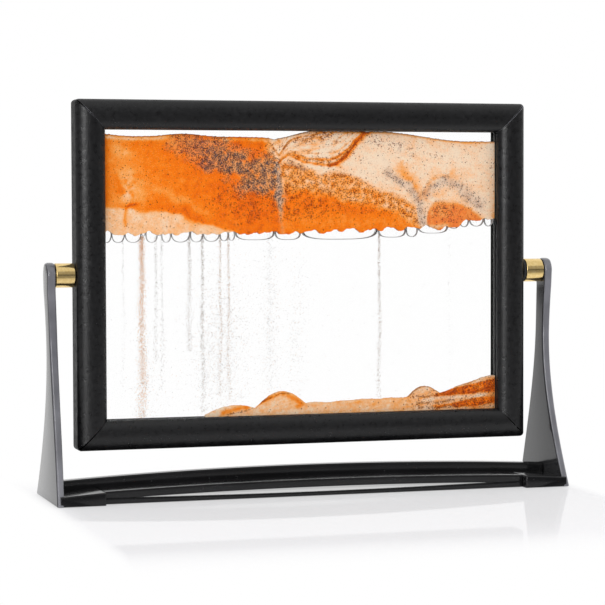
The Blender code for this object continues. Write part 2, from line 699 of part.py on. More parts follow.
def screw_hole():
    """Clearance hole and countersink through a foot block, turned about Z."""
    shaft = SCREW_DIAMETER / 2 + SEAT_GAP / 2
    head = SCREW_HEAD_DIAMETER / 2 + SEAT_GAP
    head_low = PAD_PROUD + SCREW_RECESS
    profile = [
        (-BOOLEAN_OVERRUN, head),
        (head_low + SEAT_GAP, head),
        (head_low + SCREW_HEAD_HEIGHT + SEAT_GAP, shaft),
        (FOOT_BLOCK_TOP + BOOLEAN_OVERRUN, shaft),
    ]
    return turned(bmesh.new(), profile, "Z", SCREW_STEPS)


def build_screws(side, word, stand):
    """Two slotted countersunk screws from below."""
    radius = SCREW_DIAMETER / 2
    head_low = PAD_PROUD + SCREW_RECESS
    profile = [
        (head_low, SCREW_HEAD_DIAMETER / 2),
        (head_low + SEAT_GAP, SCREW_HEAD_DIAMETER / 2),
        (head_low + SCREW_HEAD_HEIGHT, radius),
        (head_low + SCREW_LENGTH - radius, radius),
        (head_low + SCREW_LENGTH, radius / 2),
    ]
    for place, (x, y) in zip(("inner", "outer"), screw_places(side)):
        shape = at(turned(bmesh.new(), profile, "Z", SCREW_STEPS), x, y)
        screw = add_piece("{}_{}_screw".format(word, place), shape, "steel", stand)
        half = SCREW_HEAD_DIAMETER
        low = (x - SCREW_SLOT_WIDTH / 2, y - half, -BOOLEAN_OVERRUN)
        high = (x + SCREW_SLOT_WIDTH / 2, y + half, head_low + SCREW_SLOT_DEPTH)
        slot = box(bmesh.new(), low, high)
        use_boolean(screw, add_cutter("cut_slot_{}_{}".format(word, place), slot, stand))


def rail_top(x):
    """Top of a tie rail: lowest in the middle."""
    share = x / RAIL_X
    return PAD_PROUD + RAIL_MIDDLE_HEIGHT + (RAIL_END_HEIGHT - RAIL_MIDDLE_HEIGHT) * share * share


def build_rail(turn, word, stand):
    """A thin straight rail along the table, with a tongue under each foot block."""
    front = turn * CROSSBAR_HALF_DEPTH
    back = turn * (CROSSBAR_HALF_DEPTH - RAIL_DEPTH)
    tongue_x = FOOT_BLOCK_X + RAIL_TONGUE_LENGTH
    tongue_top = PAD_PROUD + RAIL_TONGUE_HEIGHT
    top = [(x, rail_top(x)) for x in spread(-RAIL_X, RAIL_X, RAIL_STATIONS)]
    outline = [(-tongue_x, PAD_PROUD), (-tongue_x, tongue_top), (-RAIL_X, tongue_top)]
    outline += top
    outline += [(RAIL_X, tongue_top), (tongue_x, tongue_top), (tongue_x, PAD_PROUD)]
    rings = [[(x, y, z) for x, z in outline] for y in (front, back)]
    add_piece(word + "_tie_rail", skin(bmesh.new(), rings), "gloss_black", stand)


def skirt_bottom(x):
    """Lower edge of the crossbar's skirts, arched clear of the rails."""
    arch = SKIRT_BOTTOM - arc_drop(x, SKIRT_ARC_RADIUS)
    return max(arch, rail_top(x) + SEAT_GAP)


def crossbar_ring(x):
    """Section of the crossbar's hollow ledge at one place along it."""
    ledge = LEDGE_HEIGHT - arc_drop(x, LEDGE_ARC_RADIUS)
    bottom = skirt_bottom(x)
    under = max(ledge - LEDGE_THICKNESS, bottom + SKIRT_LEAST)
    outer = CROSSBAR_HALF_DEPTH
    inner = CROSSBAR_HALF_DEPTH - SKIRT_THICKNESS
    section = [
        (-outer, bottom),
        (-outer, ledge - LEDGE_BEVEL),
        (-outer + LEDGE_BEVEL, ledge),
        (outer - LEDGE_BEVEL, ledge),
        (outer, ledge - LEDGE_BEVEL),
        (outer, bottom),
        (inner, bottom),
        (inner, under),
        (-inner, under),
        (-inner, bottom),
    ]
    return [(x, y, z) for y, z in section]


def rib_ring(x):
    """Section of the crossbar's upstanding rib."""
    top = RIB_HEIGHT - arc_drop(x, RIB_ARC_RADIUS)
    ledge = LEDGE_HEIGHT - arc_drop(x, LEDGE_ARC_RADIUS)
    bottom = max(RIB_SEAT, ledge - RIB_SINK)
    half = RIB_THICKNESS / 2
    section = [
        (-half, bottom),
        (-half, top - RIB_BEVEL),
        (-half + RIB_BEVEL, top),
        (half - RIB_BEVEL, top),
        (half, top - RIB_BEVEL),
        (half, bottom),
    ]
    return [(x, y, z) for y, z in section]


def build_crossbar(stand):
    """The arched bar: a hollow ledge and a rib whose ends lie on the foot blocks."""
    rib_end = upright_inner(RIB_HEIGHT - arc_drop(UPRIGHT_X, RIB_ARC_RADIUS)) - SEAT_GAP
    ledge_rings = [crossbar_ring(x) for x in spread(-CROSSBAR_X, CROSSBAR_X, LEDGE_STATIONS)]
    crossbar = add_piece("crossbar", skin(bmesh.new(), ledge_rings), "gloss_black", stand)
    rib_rings = [rib_ring(x) for x in spread(-rib_end, rib_end, RIB_STATIONS)]
    rib = add_cutter("join_rib", skin(bmesh.new(), rib_rings), stand)
    use_boolean(crossbar, rib, "UNION")
    pilot = SCREW_DIAMETER / 2 + RUNNING_GAP
    depth = PAD_PROUD + SCREW_RECESS + SCREW_LENGTH + SEAT_GAP
    for side, word in ((-1, "left"), (1, "right")):
        for place, (x, y) in zip(("inner", "outer"), screw_places(side)):
            profile = [(RIB_SEAT - BOOLEAN_OVERRUN, pilot), (depth, pilot)]
            hole = at(turned(bmesh.new(), profile, "Z", SCREW_STEPS), x, y)
            use_boolean(crossbar, add_cutter("cut_pilot_{}_{}".format(word, place), hole, stand))


def build_stand(stand):
    """Uprights, pads, screws, crossbar and tie rails."""
    for side, word in ((-1, "left"), (1, "right")):
        build_upright(side, word, stand)
        build_screws(side, word, stand)
        for place, (x, y) in zip(("front", "rear"), pad_places(side)):
            profile = [(0.0, PAD_DIAMETER / 2), (PAD_THICKNESS, PAD_DIAMETER / 2)]
            pad = at(turned(bmesh.new(), profile, "Z", ROUND_STEPS), x, y)
            add_piece("{}_{}_foot_pad".format(word, place), pad, "black_rubber", stand)
    build_crossbar(stand)
    build_rail(-1, "front", stand)
    build_rail(1, "rear", stand)


def main():
    clear_scene()
    stand = add_empty("stand")
    pivot = add_empty("picture_pivot", (-PICTURE_SHIFT, 0.0, PIVOT_HEIGHT))
    build_stand(stand)
    build_pivots(stand, pivot)
    build_frame(pivot)
    build_cell(pivot)
    build_contents(pivot)


main()
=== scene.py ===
"""Looks of a moving sand art frame on its table stand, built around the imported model.

Sizes are in metres with +Z up, the front of the object towards -Y. The picture's own pieces
are modelled about the middle of the picture, and the stand's about the origin on the table.
"""

import json
import math
import random

import bmesh
import bpy
import numpy as np
from mathutils import Matrix, Vector, noise


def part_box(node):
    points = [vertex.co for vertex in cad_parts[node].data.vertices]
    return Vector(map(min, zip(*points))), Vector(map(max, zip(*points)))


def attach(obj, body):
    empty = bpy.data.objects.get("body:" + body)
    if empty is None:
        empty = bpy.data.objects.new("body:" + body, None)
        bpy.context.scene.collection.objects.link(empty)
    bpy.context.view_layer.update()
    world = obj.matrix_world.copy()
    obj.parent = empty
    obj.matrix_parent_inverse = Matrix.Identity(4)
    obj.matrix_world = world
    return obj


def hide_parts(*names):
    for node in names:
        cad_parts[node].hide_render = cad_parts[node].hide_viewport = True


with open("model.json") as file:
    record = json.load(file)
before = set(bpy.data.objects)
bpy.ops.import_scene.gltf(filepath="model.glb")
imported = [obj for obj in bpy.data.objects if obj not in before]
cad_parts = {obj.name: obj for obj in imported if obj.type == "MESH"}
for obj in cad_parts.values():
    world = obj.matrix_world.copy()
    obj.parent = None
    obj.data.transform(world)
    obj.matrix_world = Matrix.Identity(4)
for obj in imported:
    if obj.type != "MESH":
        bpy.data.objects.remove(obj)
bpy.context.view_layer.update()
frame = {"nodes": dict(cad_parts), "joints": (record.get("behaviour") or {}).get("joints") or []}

MM = 0.001

# Camera, from a fit to the photograph
IMAGE_SIZE = 605
FOCAL_PIXELS = 2207.76
SENSOR_WIDTH = 36.0
CAMERA_PLACE = (-339.38 * MM, -1111.50 * MM, 147.68 * MM)
CAMERA_YAW = math.radians(16.91)
CAMERA_PITCH = math.radians(2.38)
CAMERA_ROLL = math.radians(-0.18)
CAMERA_CLIP = (0.05, 50.0)

# Picture frame
FRAME_FLAT = 9.6 * MM
FRAME_WALL = 1.4 * MM
WALL_SHARE_FLAT = 0.35
WALL_SHARE_CROWN = 0.65
SLOT_HALF = 4.6 * MM
CORNER_RADIUS = 2.2 * MM
REAR_SHY = 1.6 * MM
MITRE_GAP = 0.004 * MM
MITRE_BEVEL = 0.04 * MM
# Width of the paler mitre band, partly worn paint and partly a painted highlight
WEAR_AND_GLINT_WIDTH = 0.30 * MM
CROWN_STEPS = 36
MEMBER_BORE = 2.8 * MM
MEMBER_BORE_REACH = (-3 * MM, MM)
MITRE_START = 3.0 * MM

# Uprights
UPRIGHT_THICKNESS = 4.5 * MM
UPRIGHT_FOOT_THICKNESS = 3.6 * MM
UPRIGHT_HALF_DEPTH = 6.6 * MM
UPRIGHT_WAIST_HEIGHT = 85.0 * MM
UPRIGHT_WAIST_HALF_DEPTH = 5.3 * MM
UPRIGHT_FOOT_HALF_DEPTH = 30.3 * MM
UPRIGHT_FLARE_EASE = 0.45
UPRIGHT_BOW_TOP = 8.0 * MM
UPRIGHT_TUCK = 4.9 * MM
UPRIGHT_SPLAY = 5.8 * MM
UPRIGHT_EDGE = 1.25 * MM
UPRIGHT_FOOT_CHAMFER = 0.25 * MM
UPRIGHT_FOOT_CHAMFER_HEIGHT = 0.4 * MM
UPRIGHT_RINGS = 70
EDGE_STEPS = 7
TOP_STEPS = 22

# Base of the stand
# A rounded corner takes up no more than this share of a side
CORNER_SHARE = 0.45
FLOOR_GAP = 0.3 * MM
SEAT_GAP = 0.3 * MM
FOOT_BLOCK_TOP = 5.3 * MM
FOOT_BLOCK_RISE = 1.5 * MM
FOOT_BLOCK_REACH = 20.4 * MM
FOOT_BLOCK_INSET = 0.5 * MM
FOOT_BLOCK_BEVEL = 0.8 * MM
FOOT_BLOCK_BEVEL_STEPS = 4
FOOT_BLOCK_LIFT = 0.02 * MM
LEDGE_ARC_RADIUS = 2920.0 * MM
LEDGE_HEIGHT = 8.9 * MM
LEDGE_THICKNESS = 2.0 * MM
LEDGE_LEAST = 0.4 * MM
LEDGE_EDGE = 0.75 * MM
LEDGE_STATIONS = 81
SKIRT_THICKNESS = 2.0 * MM
SKIRT_BOTTOM = 4.8 * MM
SKIRT_ARC_RADIUS = 3070.0 * MM
RIB_ARC_RADIUS = 2280.0 * MM
RIB_HEIGHT = 14.05 * MM
RIB_THICKNESS = 7.0 * MM
RIB_EDGE = 1.0 * MM
RIB_IN_LEDGE = 1.0 * MM
RIB_IN_BLOCK = 0.1 * MM
RIB_STATIONS = 89
RAIL_DEPTH = 3.0 * MM
RAIL_MIDDLE_HEIGHT = 2.0 * MM
RAIL_END_HEIGHT = 3.2 * MM
RAIL_IN_SKIRT = 0.15 * MM
RAIL_EDGE = 0.35 * MM
RAIL_STATIONS = 61

# Pivots
STUD_LENGTH = 2.9 * MM
STUD_IN_UPRIGHT = 2.6 * MM
BARREL_LENGTH = 9.9 * MM
JOURNAL_RADIUS = 2.5 * MM
BARREL_BEVEL = 0.5 * MM
BARREL_BEVEL_STEPS = 6
ROUND_STEPS = 96

# Angle in degrees past which an edge is drawn sharp
SHARP_ANGLE = 32.0

# Share of the way to edge-on at which clear sheets begin to look denser
CLEAR_START = 0.22

# Sand and bubbles
CHAMBER_HALF = 1.3 * MM
LIQUID_SHY = 0.1 * MM
LIQUID_EDGE = 0.3 * MM
SAND_COLUMN = 0.5 * MM
SAND_LEAST = 0.25
SAND_CREST_SHY = 0.35
SMALL_DOME_REACH = 9.4

pivot_joint = frame["joints"][0]
PIVOT_HEIGHT = pivot_joint["pos_m"][2]
left_low, left_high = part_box("frame_left")
right_low, right_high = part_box("frame_right")
CENTRE = Vector(((left_low.x + right_high.x) / 2, 0.0, PIVOT_HEIGHT))
HALF_WIDTH = (right_high.x - left_low.x) / 2
HALF_HEIGHT = (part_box("frame_top")[1].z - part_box("frame_bottom")[0].z) / 2
FRAME_FACE = left_high.x - left_low.x
FRAME_CROWN = (left_high.y - left_low.y - FRAME_FLAT) / 2
SIGHT_X = HALF_WIDTH - FRAME_FACE
SIGHT_Z = HALF_HEIGHT - FRAME_FACE
UPRIGHT_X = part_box("right_spindle")[1].x - STUD_IN_UPRIGHT


# Shapes


def skin(rings):
    """Join rings of points by quads, and cap both ends."""
    shape = bmesh.new()
    loops = [[shape.verts.new(point) for point in ring] for ring in rings]
    for first, second in zip(loops, loops[1:]):
        count = len(first)
        for index in range(count):
            following = (index + 1) % count
            shape.faces.new((first[index], first[following], second[following], second[index]))
    shape.faces.new(loops[0])
    shape.faces.new(list(reversed(loops[-1])))
    return shape


def add_object(name, data):
    """An object linked into the scene."""
    made = bpy.data.objects.new(name, data)
    bpy.context.scene.collection.objects.link(made)
    return made


def paint(mesh, name, values):
    """A value at each vertex, for the material to read."""
    mesh.attributes.new(name, "FLOAT", "POINT").data.foreach_set("value", values)


def finish_piece(name, mesh, material, body, location=(0.0, 0.0, 0.0), replaced=(), sharp=SHARP_ANGLE):
    """A named piece from a mesh, with its material, riding on its body."""
    mesh.shade_smooth()
    mesh.set_sharp_from_angle(angle=math.radians(sharp))
    mesh.materials.append(material)
    piece = add_object(name, mesh)
    piece.location = location
    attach(piece, body)
    if replaced:
        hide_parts(*replaced)
    return piece


def mesh_of(name, shape):
    """Turn a bmesh into a mesh with its faces pointing out."""
    bmesh.ops.recalc_face_normals(shape, faces=shape.faces)
    mesh = bpy.data.meshes.new(name)
    shape.to_mesh(mesh)
    shape.free()
    return mesh


def boolean(piece, shape, operation, name):
    """Cut or join by an exact Boolean, and apply it."""
    cutter = add_object(name, mesh_of(name, shape))
    cutter.matrix_world = piece.matrix_world
    modifier = piece.modifiers.new(name, "BOOLEAN")
    modifier.operation = operation
    modifier.solver = "EXACT"
    modifier.object = cutter
    bpy.context.view_layer.update()
    evaluated = piece.evaluated_get(bpy.context.evaluated_depsgraph_get())
    result = bpy.data.meshes.new_from_object(evaluated)
    piece.modifiers.clear()
    old = piece.data
    piece.data = result
    bpy.data.meshes.remove(old)
    bpy.data.objects.remove(cutter)
    result.shade_smooth()
    result.set_sharp_from_angle(angle=math.radians(SHARP_ANGLE))


def turned(profile, steps):
    """Turn a profile of (distance along X, radius) about the X axis."""
    rings = []
    for along, radius in profile:
        ring = []
        for step in range(steps):
            angle = math.tau * step / steps
            ring.append((along, radius * math.cos(angle), radius * math.sin(angle)))
        rings.append(ring)
    return skin(rings)


def spread(start, end, count):
    """Evenly spaced values, both ends included."""
    return [start + (end - start) * step / (count - 1) for step in range(count)]


def quarter(radius, steps):
    """A rounded corner, as distances in from its first side and its second."""
    angles = spread(0.0, math.pi / 2, steps + 1)
    return [(radius * (1 - math.cos(angle)), radius * (1 - math.sin(angle))) for angle in angles]


def arc_drop(x, radius):
    """How far an arc of this radius has dropped at a distance from its middle."""
    return radius - math.sqrt(radius * radius - x * x)


# Materials


class Nodes:
    """A tree of shader nodes, with short calls for the kinds used here."""

    def __init__(self, tree):
        self.nodes = tree.nodes
        self.links = tree.links

    def put(self, node, inputs):
        """Constants and links, by the name or number of each input."""
        for key, value in inputs.items():
            if isinstance(value, (int, float)):
                node.inputs[key].default_value = value
            elif isinstance(value, tuple):
                node.inputs[key].default_value = value if len(value) == 4 else (*value, 1.0)
            else:
                self.links.new(value, node.inputs[key])
        return node

    def calc(self, operation, first, second):
        node = self.nodes.new("ShaderNodeMath")
        node.operation = operation
        return self.put(node, {0: first, 1: second}).outputs["Value"]

    def times(self, first, second):
        return self.calc("MULTIPLY", first, second)

    def plus(self, first, second):
        return self.calc("ADD", first, second)

    def most(self, first, second):
        return self.calc("MAXIMUM", first, second)

    def less(self, first, second):
        return self.calc("SUBTRACT", first, second)

    def swing(self, value, reach):
        """A noise turned into a push to either side of zero."""
        return self.times(self.less(value, 0.5), reach)

    def span(self, value, low, high, start=0.0, end=1.0, smooth=False):
        node = self.nodes.new("ShaderNodeMapRange")
        node.interpolation_type = "SMOOTHSTEP" if smooth else "LINEAR"
        inputs = {"Value": value, "From Min": low, "From Max": high, "To Min": start, "To Max": end}
        return self.put(node, inputs).outputs["Result"]

    def soft(self, value, low, high, start=0.0, end=1.0):
        return self.span(value, low, high, start, end, smooth=True)

    def coordinates(self, kind):
        return self.nodes.new("ShaderNodeTexCoord").outputs[kind]

    def split(self, vector):
        """The X, Y and Z of a vector."""
        node = self.put(self.nodes.new("ShaderNodeSeparateXYZ"), {"Vector": vector})
        return node.outputs


class Graph(Nodes):
    """The nodes of one material."""

    def __init__(self, name):
        self.material = bpy.data.materials.new(name)
        self.material.use_nodes = True
        super().__init__(self.material.node_tree)
        self.shader = self.nodes["Principled BSDF"]
        self.output = self.nodes["Material Output"]

    def set(self, **values):
        """Constants on the shader's own sockets."""
        self.put(self.shader, {key.replace("_", " "): value for key, value in values.items()})

    def feed(self, socket, source):
        """Link a source to one of the shader's sockets."""
        self.links.new(source, self.shader.inputs[socket])

    def place(self, scale=(1.0, 1.0, 1.0)):
        """Object coordinates, scaled."""
        mapping = self.nodes.new("ShaderNodeMapping")
        mapping.inputs["Scale"].default_value = scale
        return self.put(mapping, {"Vector": self.coordinates("Object")}).outputs["Vector"]

    def noise(self, vector, scale, detail=3.0, roughness=0.55):
        node = self.nodes.new("ShaderNodeTexNoise")
        inputs = {"Vector": vector, "Scale": scale, "Detail": detail, "Roughness": roughness}
        return self.put(node, inputs).outputs["Fac"]

    def cells(self, vector, scale):
        return self.put(self.nodes.new("ShaderNodeTexVoronoi"), {"Vector": vector, "Scale": scale}).outputs

    def ramp(self, factor, *stops):
        node = self.put(self.nodes.new("ShaderNodeValToRGB"), {"Fac": factor})
        elements = node.color_ramp.elements
        while len(elements) < len(stops):
            elements.new(0.5)
        for element, (place, colour) in zip(elements, stops):
            element.position = place
            element.color = (*colour, 1.0)
        return node.outputs["Color"]

    def blend(self, factor, first, second):
        node = self.nodes.new("ShaderNodeMix")
        node.data_type = "RGBA"
        return self.put(node, {0: factor, 6: first, 7: second}).outputs[2]

    def attribute(self, name):
        node = self.nodes.new("ShaderNodeAttribute")
        node.attribute_name = name
        return node.outputs["Fac"]

    def edge_on(self):
        """0 on faces that look at the viewer, 1 on those seen edge on."""
        return self.put(self.nodes.new("ShaderNodeLayerWeight"), {"Blend": 0.5}).outputs["Facing"]

    def bump(self, height, strength, distance):
        inputs = {"Strength": strength, "Distance": distance, "Height": height}
        node = self.put(self.nodes.new("ShaderNodeBump"), inputs)
        self.feed("Normal", node.outputs["Normal"])


def scaled(tint, share):
    return tuple(share * value for value in tint)


def frame_black():
    """Satin black moulding with a mottled skin, and a paler band along the mitres that is partly paint worn
    thin and partly a painted highlight where the mitre edge catches the light.
    """
    g = Graph("frame_black")
    place = g.place()
    mottle = g.noise(place, 420.0, 4.0, 0.6)
    broad = g.noise(place, 60.0, 2.0)
    tone = g.plus(g.times(mottle, 0.7), g.times(broad, 0.3))
    colour = g.ramp(tone, (0.3, (0.0028, 0.0028, 0.0032)), (0.7, (0.0085, 0.0085, 0.0095)))
    # Paler mitre band: partly worn paint, partly a painted highlight on the mitre edge
    patchy = g.span(g.noise(place, 45.0), 0.46, 0.60)
    worn_and_glinting = g.times(g.times(g.attribute("wear_and_glint"), patchy), 0.85)
    g.feed("Base Color", g.blend(worn_and_glinting, colour, (0.34, 0.34, 0.37)))
    edge_on = g.edge_on()
    roughness = g.plus(g.span(mottle, 0.3, 0.7, 0.24, 0.42), g.span(edge_on, 0.5, 0.9, 0.0, 0.15))
    g.feed("Roughness", roughness)
    g.feed("Specular IOR Level", g.span(edge_on, 0.45, 0.85, 0.40, 0.08))
    fine = g.noise(place, 1500.0, 3.0, 0.6)
    g.bump(g.plus(g.times(mottle, 0.8), g.times(fine, 0.35)), 0.55, 0.32 * MM)
    return g.material


def gloss_black(name, specular, coat, painted_lightness):
    """Polished black acrylic with slight waviness and dust; a lightness above 1 paints in light, making lit
    copies of the same black.
    """
    g = Graph(name)
    place = g.place()
    speck = g.span(g.cells(place, 260.0)["Distance"], 0.05, 0.11, 1.0, 0.0)
    cloud = g.noise(place, 35.0)
    dark = scaled((0.0040, 0.0040, 0.0044), painted_lightness)
    light = scaled((0.0090, 0.0090, 0.0100), painted_lightness)
    base = g.ramp(cloud, (0.3, dark), (0.75, light))
    g.feed("Base Color", g.blend(g.times(speck, 0.25), base, (0.09, 0.09, 0.095)))
    g.feed("Roughness", g.span(cloud, 0.25, 0.8, 0.10, 0.18))
    g.set(Specular_IOR_Level=specular, Coat_Weight=coat, Coat_Roughness=0.05, Coat_IOR=1.5)
    g.bump(g.noise(place, 90.0, 2.0), 0.10, 0.25 * MM)
    return g.material


def brass():
    """Satin turned brass, with fine rings round its axis and a cloudy grain."""
    g = Graph("brass")
    rings = g.noise(g.place((7000.0, 30.0, 30.0)), 1.0, 3.0, 0.7)
    cloud = g.noise(g.place(), 900.0, 4.0, 0.65)
    g.feed("Base Color", g.ramp(cloud, (0.25, (0.74, 0.51, 0.18)), (0.8, (0.96, 0.75, 0.37))))
    g.feed("Roughness", g.span(rings, 0.3, 0.7, 0.13, 0.22))
    g.set(Metallic=1.0)
    g.bump(g.plus(g.times(rings, 0.4), g.times(cloud, 0.6)), 0.35, 0.04 * MM)
    return g.material


def plain_material(name, dark, light, roughness, grain, metallic=0.0, depth=0.05 * MM):
    """A surface with cloudy colour, uneven gloss and a fine grain."""
    g = Graph(name)
    place = g.place()
    cloud = g.noise(place, grain, 4.0, 0.6)
    g.feed("Base Color", g.ramp(cloud, (0.3, dark), (0.75, light)))
    g.feed("Roughness", g.span(cloud, 0.3, 0.75, roughness * 0.85, roughness * 1.1))
    g.set(Metallic=metallic)
    g.bump(g.noise(place, grain * 2.5), 0.4, depth)
    return g.material


def clear_material(name, tint, face_alpha, edge_alpha, roughness=0.03):
    """A clear sheet: seen through face on, and glossier and denser at grazing angles."""
    g = Graph(name)
    place = g.place()
    g.feed("Base Color", g.ramp(g.noise(place, 40.0, 2.0), (0.3, tint), (0.7, scaled(tint, 0.97))))
    g.feed("Alpha", g.span(g.edge_on(), CLEAR_START, 1.0, face_alpha, edge_alpha))
    g.feed("Roughness", g.span(g.noise(place, 25.0), 0.2, 0.8, roughness, roughness * 2))
    g.set(Specular_IOR_Level=0.5)
    return g.material


# Dark grains: cells to the metre, and where in its cell a grain starts and stops to fade
GRAINS = ((1050.0, 0.30, 0.46), (1650.0, 0.37, 0.55), (2300.0, 0.40, 0.60))


def sand_material(name):
    """Layered coloured sand: tone, greyness, dark grains and contour lines come with the mesh."""
    g = Graph(name)
    place = g.place()
    dust = g.attribute("dust")
    grain = g.noise(place, 2600.0, 2.0, 0.7)
    cloud = g.noise(place, 240.0, 6.0, 0.72)
    mixed = g.plus(g.plus(g.attribute("tone"), g.swing(cloud, 0.55)), g.swing(grain, 0.55))
    colour = g.ramp(
        mixed,
        (0.0, (0.93, 0.73, 0.54)),
        (0.25, (0.96, 0.54, 0.27)),
        (0.48, (0.95, 0.37, 0.070)),
        (0.70, (0.95, 0.230, 0.006)),
        (0.90, (0.88, 0.155, 0.001)),
        (1.0, (0.62, 0.095, 0.006)),
    )
    colour = g.blend(g.attribute("grey"), colour, (0.50, 0.33, 0.25))
    colour = g.blend(g.span(g.attribute("line"), 0.25, 1.0, 0.0, 0.85), colour, (0.30, 0.085, 0.010))
    speckle = g.noise(place, 1300.0, 3.0, 0.6)
    dirt = g.times(g.span(speckle, 0.50, 0.68), g.span(dust, 0.0, 0.5, 0.17, 0.95))
    colour = g.blend(dirt, colour, (0.34, 0.12, 0.045))
    brown = g.ramp(speckle, (0.35, (0.11, 0.008, 0.001)), (0.65, (0.27, 0.030, 0.003)))
    cold = g.ramp(speckle, (0.42, (0.080, 0.020, 0.005)), (0.58, (0.062, 0.058, 0.078)))
    dark = g.blend(g.span(g.attribute("grey"), 0.05, 0.35), brown, cold)
    for scale, inner, outer in GRAINS:
        cells = g.cells(place, scale)
        pick = g.put(g.nodes.new("ShaderNodeSeparateColor"), {"Color": cells["Color"]})
        chosen = g.calc("LESS_THAN", pick.outputs["Red"], dust)
        dot = g.times(chosen, g.span(cells["Distance"], inner, outer, 1.0, 0.0))
        colour = g.blend(g.times(dot, 0.92), colour, dark)
    g.feed("Base Color", colour)
    g.set(Roughness=0.85, Specular_IOR_Level=0.1)
    g.bump(grain, 0.5, 0.1 * MM)
    return g.material


FRAME_BLACK = frame_black()
BASE_BLACK = gloss_black("base_black", 0.32, 0.10, 1.0)
# The plates are a lighter copy of the base's black: painted light for the reflections on them
PLATE_LIT_BLACK = gloss_black("plate_lit_black", 0.30, 0.12, 3.5)
# The plates' rims get a much paler copy of the black: a painted sheen for the light their edges reflect
PLATE_EDGE_SHEEN = gloss_black("plate_edge_painted_sheen", 0.50, 0.30, 24.0)
BRASS = brass()
RUBBER = plain_material("black_rubber", (0.008, 0.008, 0.008), (0.020, 0.020, 0.021), 0.72, 500.0)
GLASS = clear_material("clear_glass", (0.66, 0.72, 0.69), 0.002, 0.40)
LIQUID = clear_material("clear_liquid", (0.72, 0.72, 0.70), 0.0015, 0.15)


# Picture frame


def member_profile():
    """Closed outline of the moulding, as (across from the outer edge, depth, on the outside)."""
    half_flat = FRAME_FLAT / 2

    def crown(inset, steps, start_angle, end_angle, side):
        points = []
        half_face = (FRAME_FACE - REAR_SHY * (side > 0)) / 2
        flat = half_flat - inset * WALL_SHARE_FLAT
        rise = FRAME_CROWN - inset * WALL_SHARE_CROWN
        for angle in spread(start_angle, end_angle, steps + 1):
            across = half_face + (half_face - inset) * math.cos(angle)
            points.append((across, side * (flat + rise * math.sin(angle)), inset == 0.0))
        return points

    outer = [(FRAME_FACE, -SLOT_HALF, False)]
    outer += crown(0.0, CROWN_STEPS, 0.0, math.pi, -1)
    outer += crown(0.0, CROWN_STEPS, math.pi, 0.0, 1)
    outer += [(FRAME_FACE - REAR_SHY, SLOT_HALF, False)]
    lip = FRAME_FACE - FRAME_WALL
    inner = [(lip - REAR_SHY, SLOT_HALF, False)]
    inner += crown(FRAME_WALL, CROWN_STEPS // 3, 0.0, math.pi, 1)[1:]
    inner += crown(FRAME_WALL, CROWN_STEPS // 3, math.pi, 0.0, -1)[:-1]
    inner += [(lip, -SLOT_HALF, False)]
    return outer + inner


def rounding(along):
    """How far the rounded corner draws the outer edge in, at a distance from the square corner."""
    if along >= CORNER_RADIUS:
        return 0.0
    return CORNER_RADIUS - math.sqrt(CORNER_RADIUS ** 2 - (CORNER_RADIUS - along) ** 2)


def member_rings(half_length):
    """Rings of (distance from the middle, across, depth) from one mitre to the other."""
    profile = member_profile()
    corner = CORNER_RADIUS * (1 - math.sqrt(0.5))
    start = FRAME_FACE + MITRE_START
    stations = [start, start * 0.55, CORNER_RADIUS * 1.3, CORNER_RADIUS, CORNER_RADIUS * 0.8]
    stations += [CORNER_RADIUS * 0.6, CORNER_RADIUS * 0.45, corner + WEAR_AND_GLINT_WIDTH, corner + MITRE_BEVEL, corner]
    rings = []
    for index, station in enumerate(stations):
        share = (start - station) / (start - corner)
        last = index == len(stations) - 1
        ring = []
        for across, depth, outer in profile:
            mitre = corner + across * (1 - corner / FRAME_FACE)
            along = start + (mitre - start) * share
            drawn = rounding(along)
            out = drawn + across * (1 - drawn / FRAME_FACE)
            if last and outer:
                centre = FRAME_FACE / 2
                away = Vector((out - centre, depth))
                away = away * (1 - MITRE_BEVEL / max(away.length, MITRE_BEVEL))
                out, depth = centre + away.x, away.y
                along += MITRE_BEVEL * 0.4
            ring.append((half_length - along - MITRE_GAP / 2, out, depth))
        rings.append(ring)
    inner = [[(-s, out, depth) for s, out, depth in ring] for ring in reversed(rings)]
    return inner + rings


def frame_member(name, half_length, offset, upright_member, side):
    """One mitred side of the frame."""
    rings = []
    for ring in member_rings(half_length):
        points = []
        for along, out, depth in ring:
            outward = side * (offset - out)
            points.append((outward, depth, along) if upright_member else (along, depth, outward))
        rings.append(points)
    mesh = mesh_of(name, skin(rings))
    last = len(rings) - 1
    # The rings at each mitre carry the paler band, partly worn paint and partly a painted highlight
    worn_and_glinting = [float(index in (0, 1, last - 1, last)) for index, ring in enumerate(rings) for _ in ring]
    paint(mesh, "wear_and_glint", worn_and_glinting)
    return finish_piece(name, mesh, FRAME_BLACK, "picture", CENTRE, [name.replace("moulding", "frame")])


def build_frame():
    frame_member("moulding_top", HALF_WIDTH, HALF_HEIGHT, False, 1)
    frame_member("moulding_bottom", HALF_WIDTH, HALF_HEIGHT, False, -1)
    for side, word in ((-1, "left"), (1, "right")):
        member = frame_member("moulding_" + word, HALF_HEIGHT, HALF_WIDTH, True, side)
        ends = [(side * (HALF_WIDTH + reach), MEMBER_BORE) for reach in MEMBER_BORE_REACH]
        boolean(member, turned(ends, ROUND_STEPS // 2), "DIFFERENCE", "cut_bore")


# Sand: fields are worked out on numpy arrays in millimetres about the picture's middle


def smooth_noise(x, z, scale, seed):
    """Fractal noise of a grid of points."""
    flat = np.empty(x.size)
    for index, (a, b) in enumerate(zip(x.ravel(), z.ravel())):
        point = Vector((a / scale, b / scale, seed))
        flat[index] = noise.fractal(point, 0.9, 2.1, 3)
    return flat.reshape(x.shape)


def bell(x, centre, width):
    return np.exp(-((x - centre) / width) ** 2)


def cusp(x, centre, width):
    """A pointed dip, as sand makes over an outlet."""
    return np.exp(-np.abs(x - centre) / width)


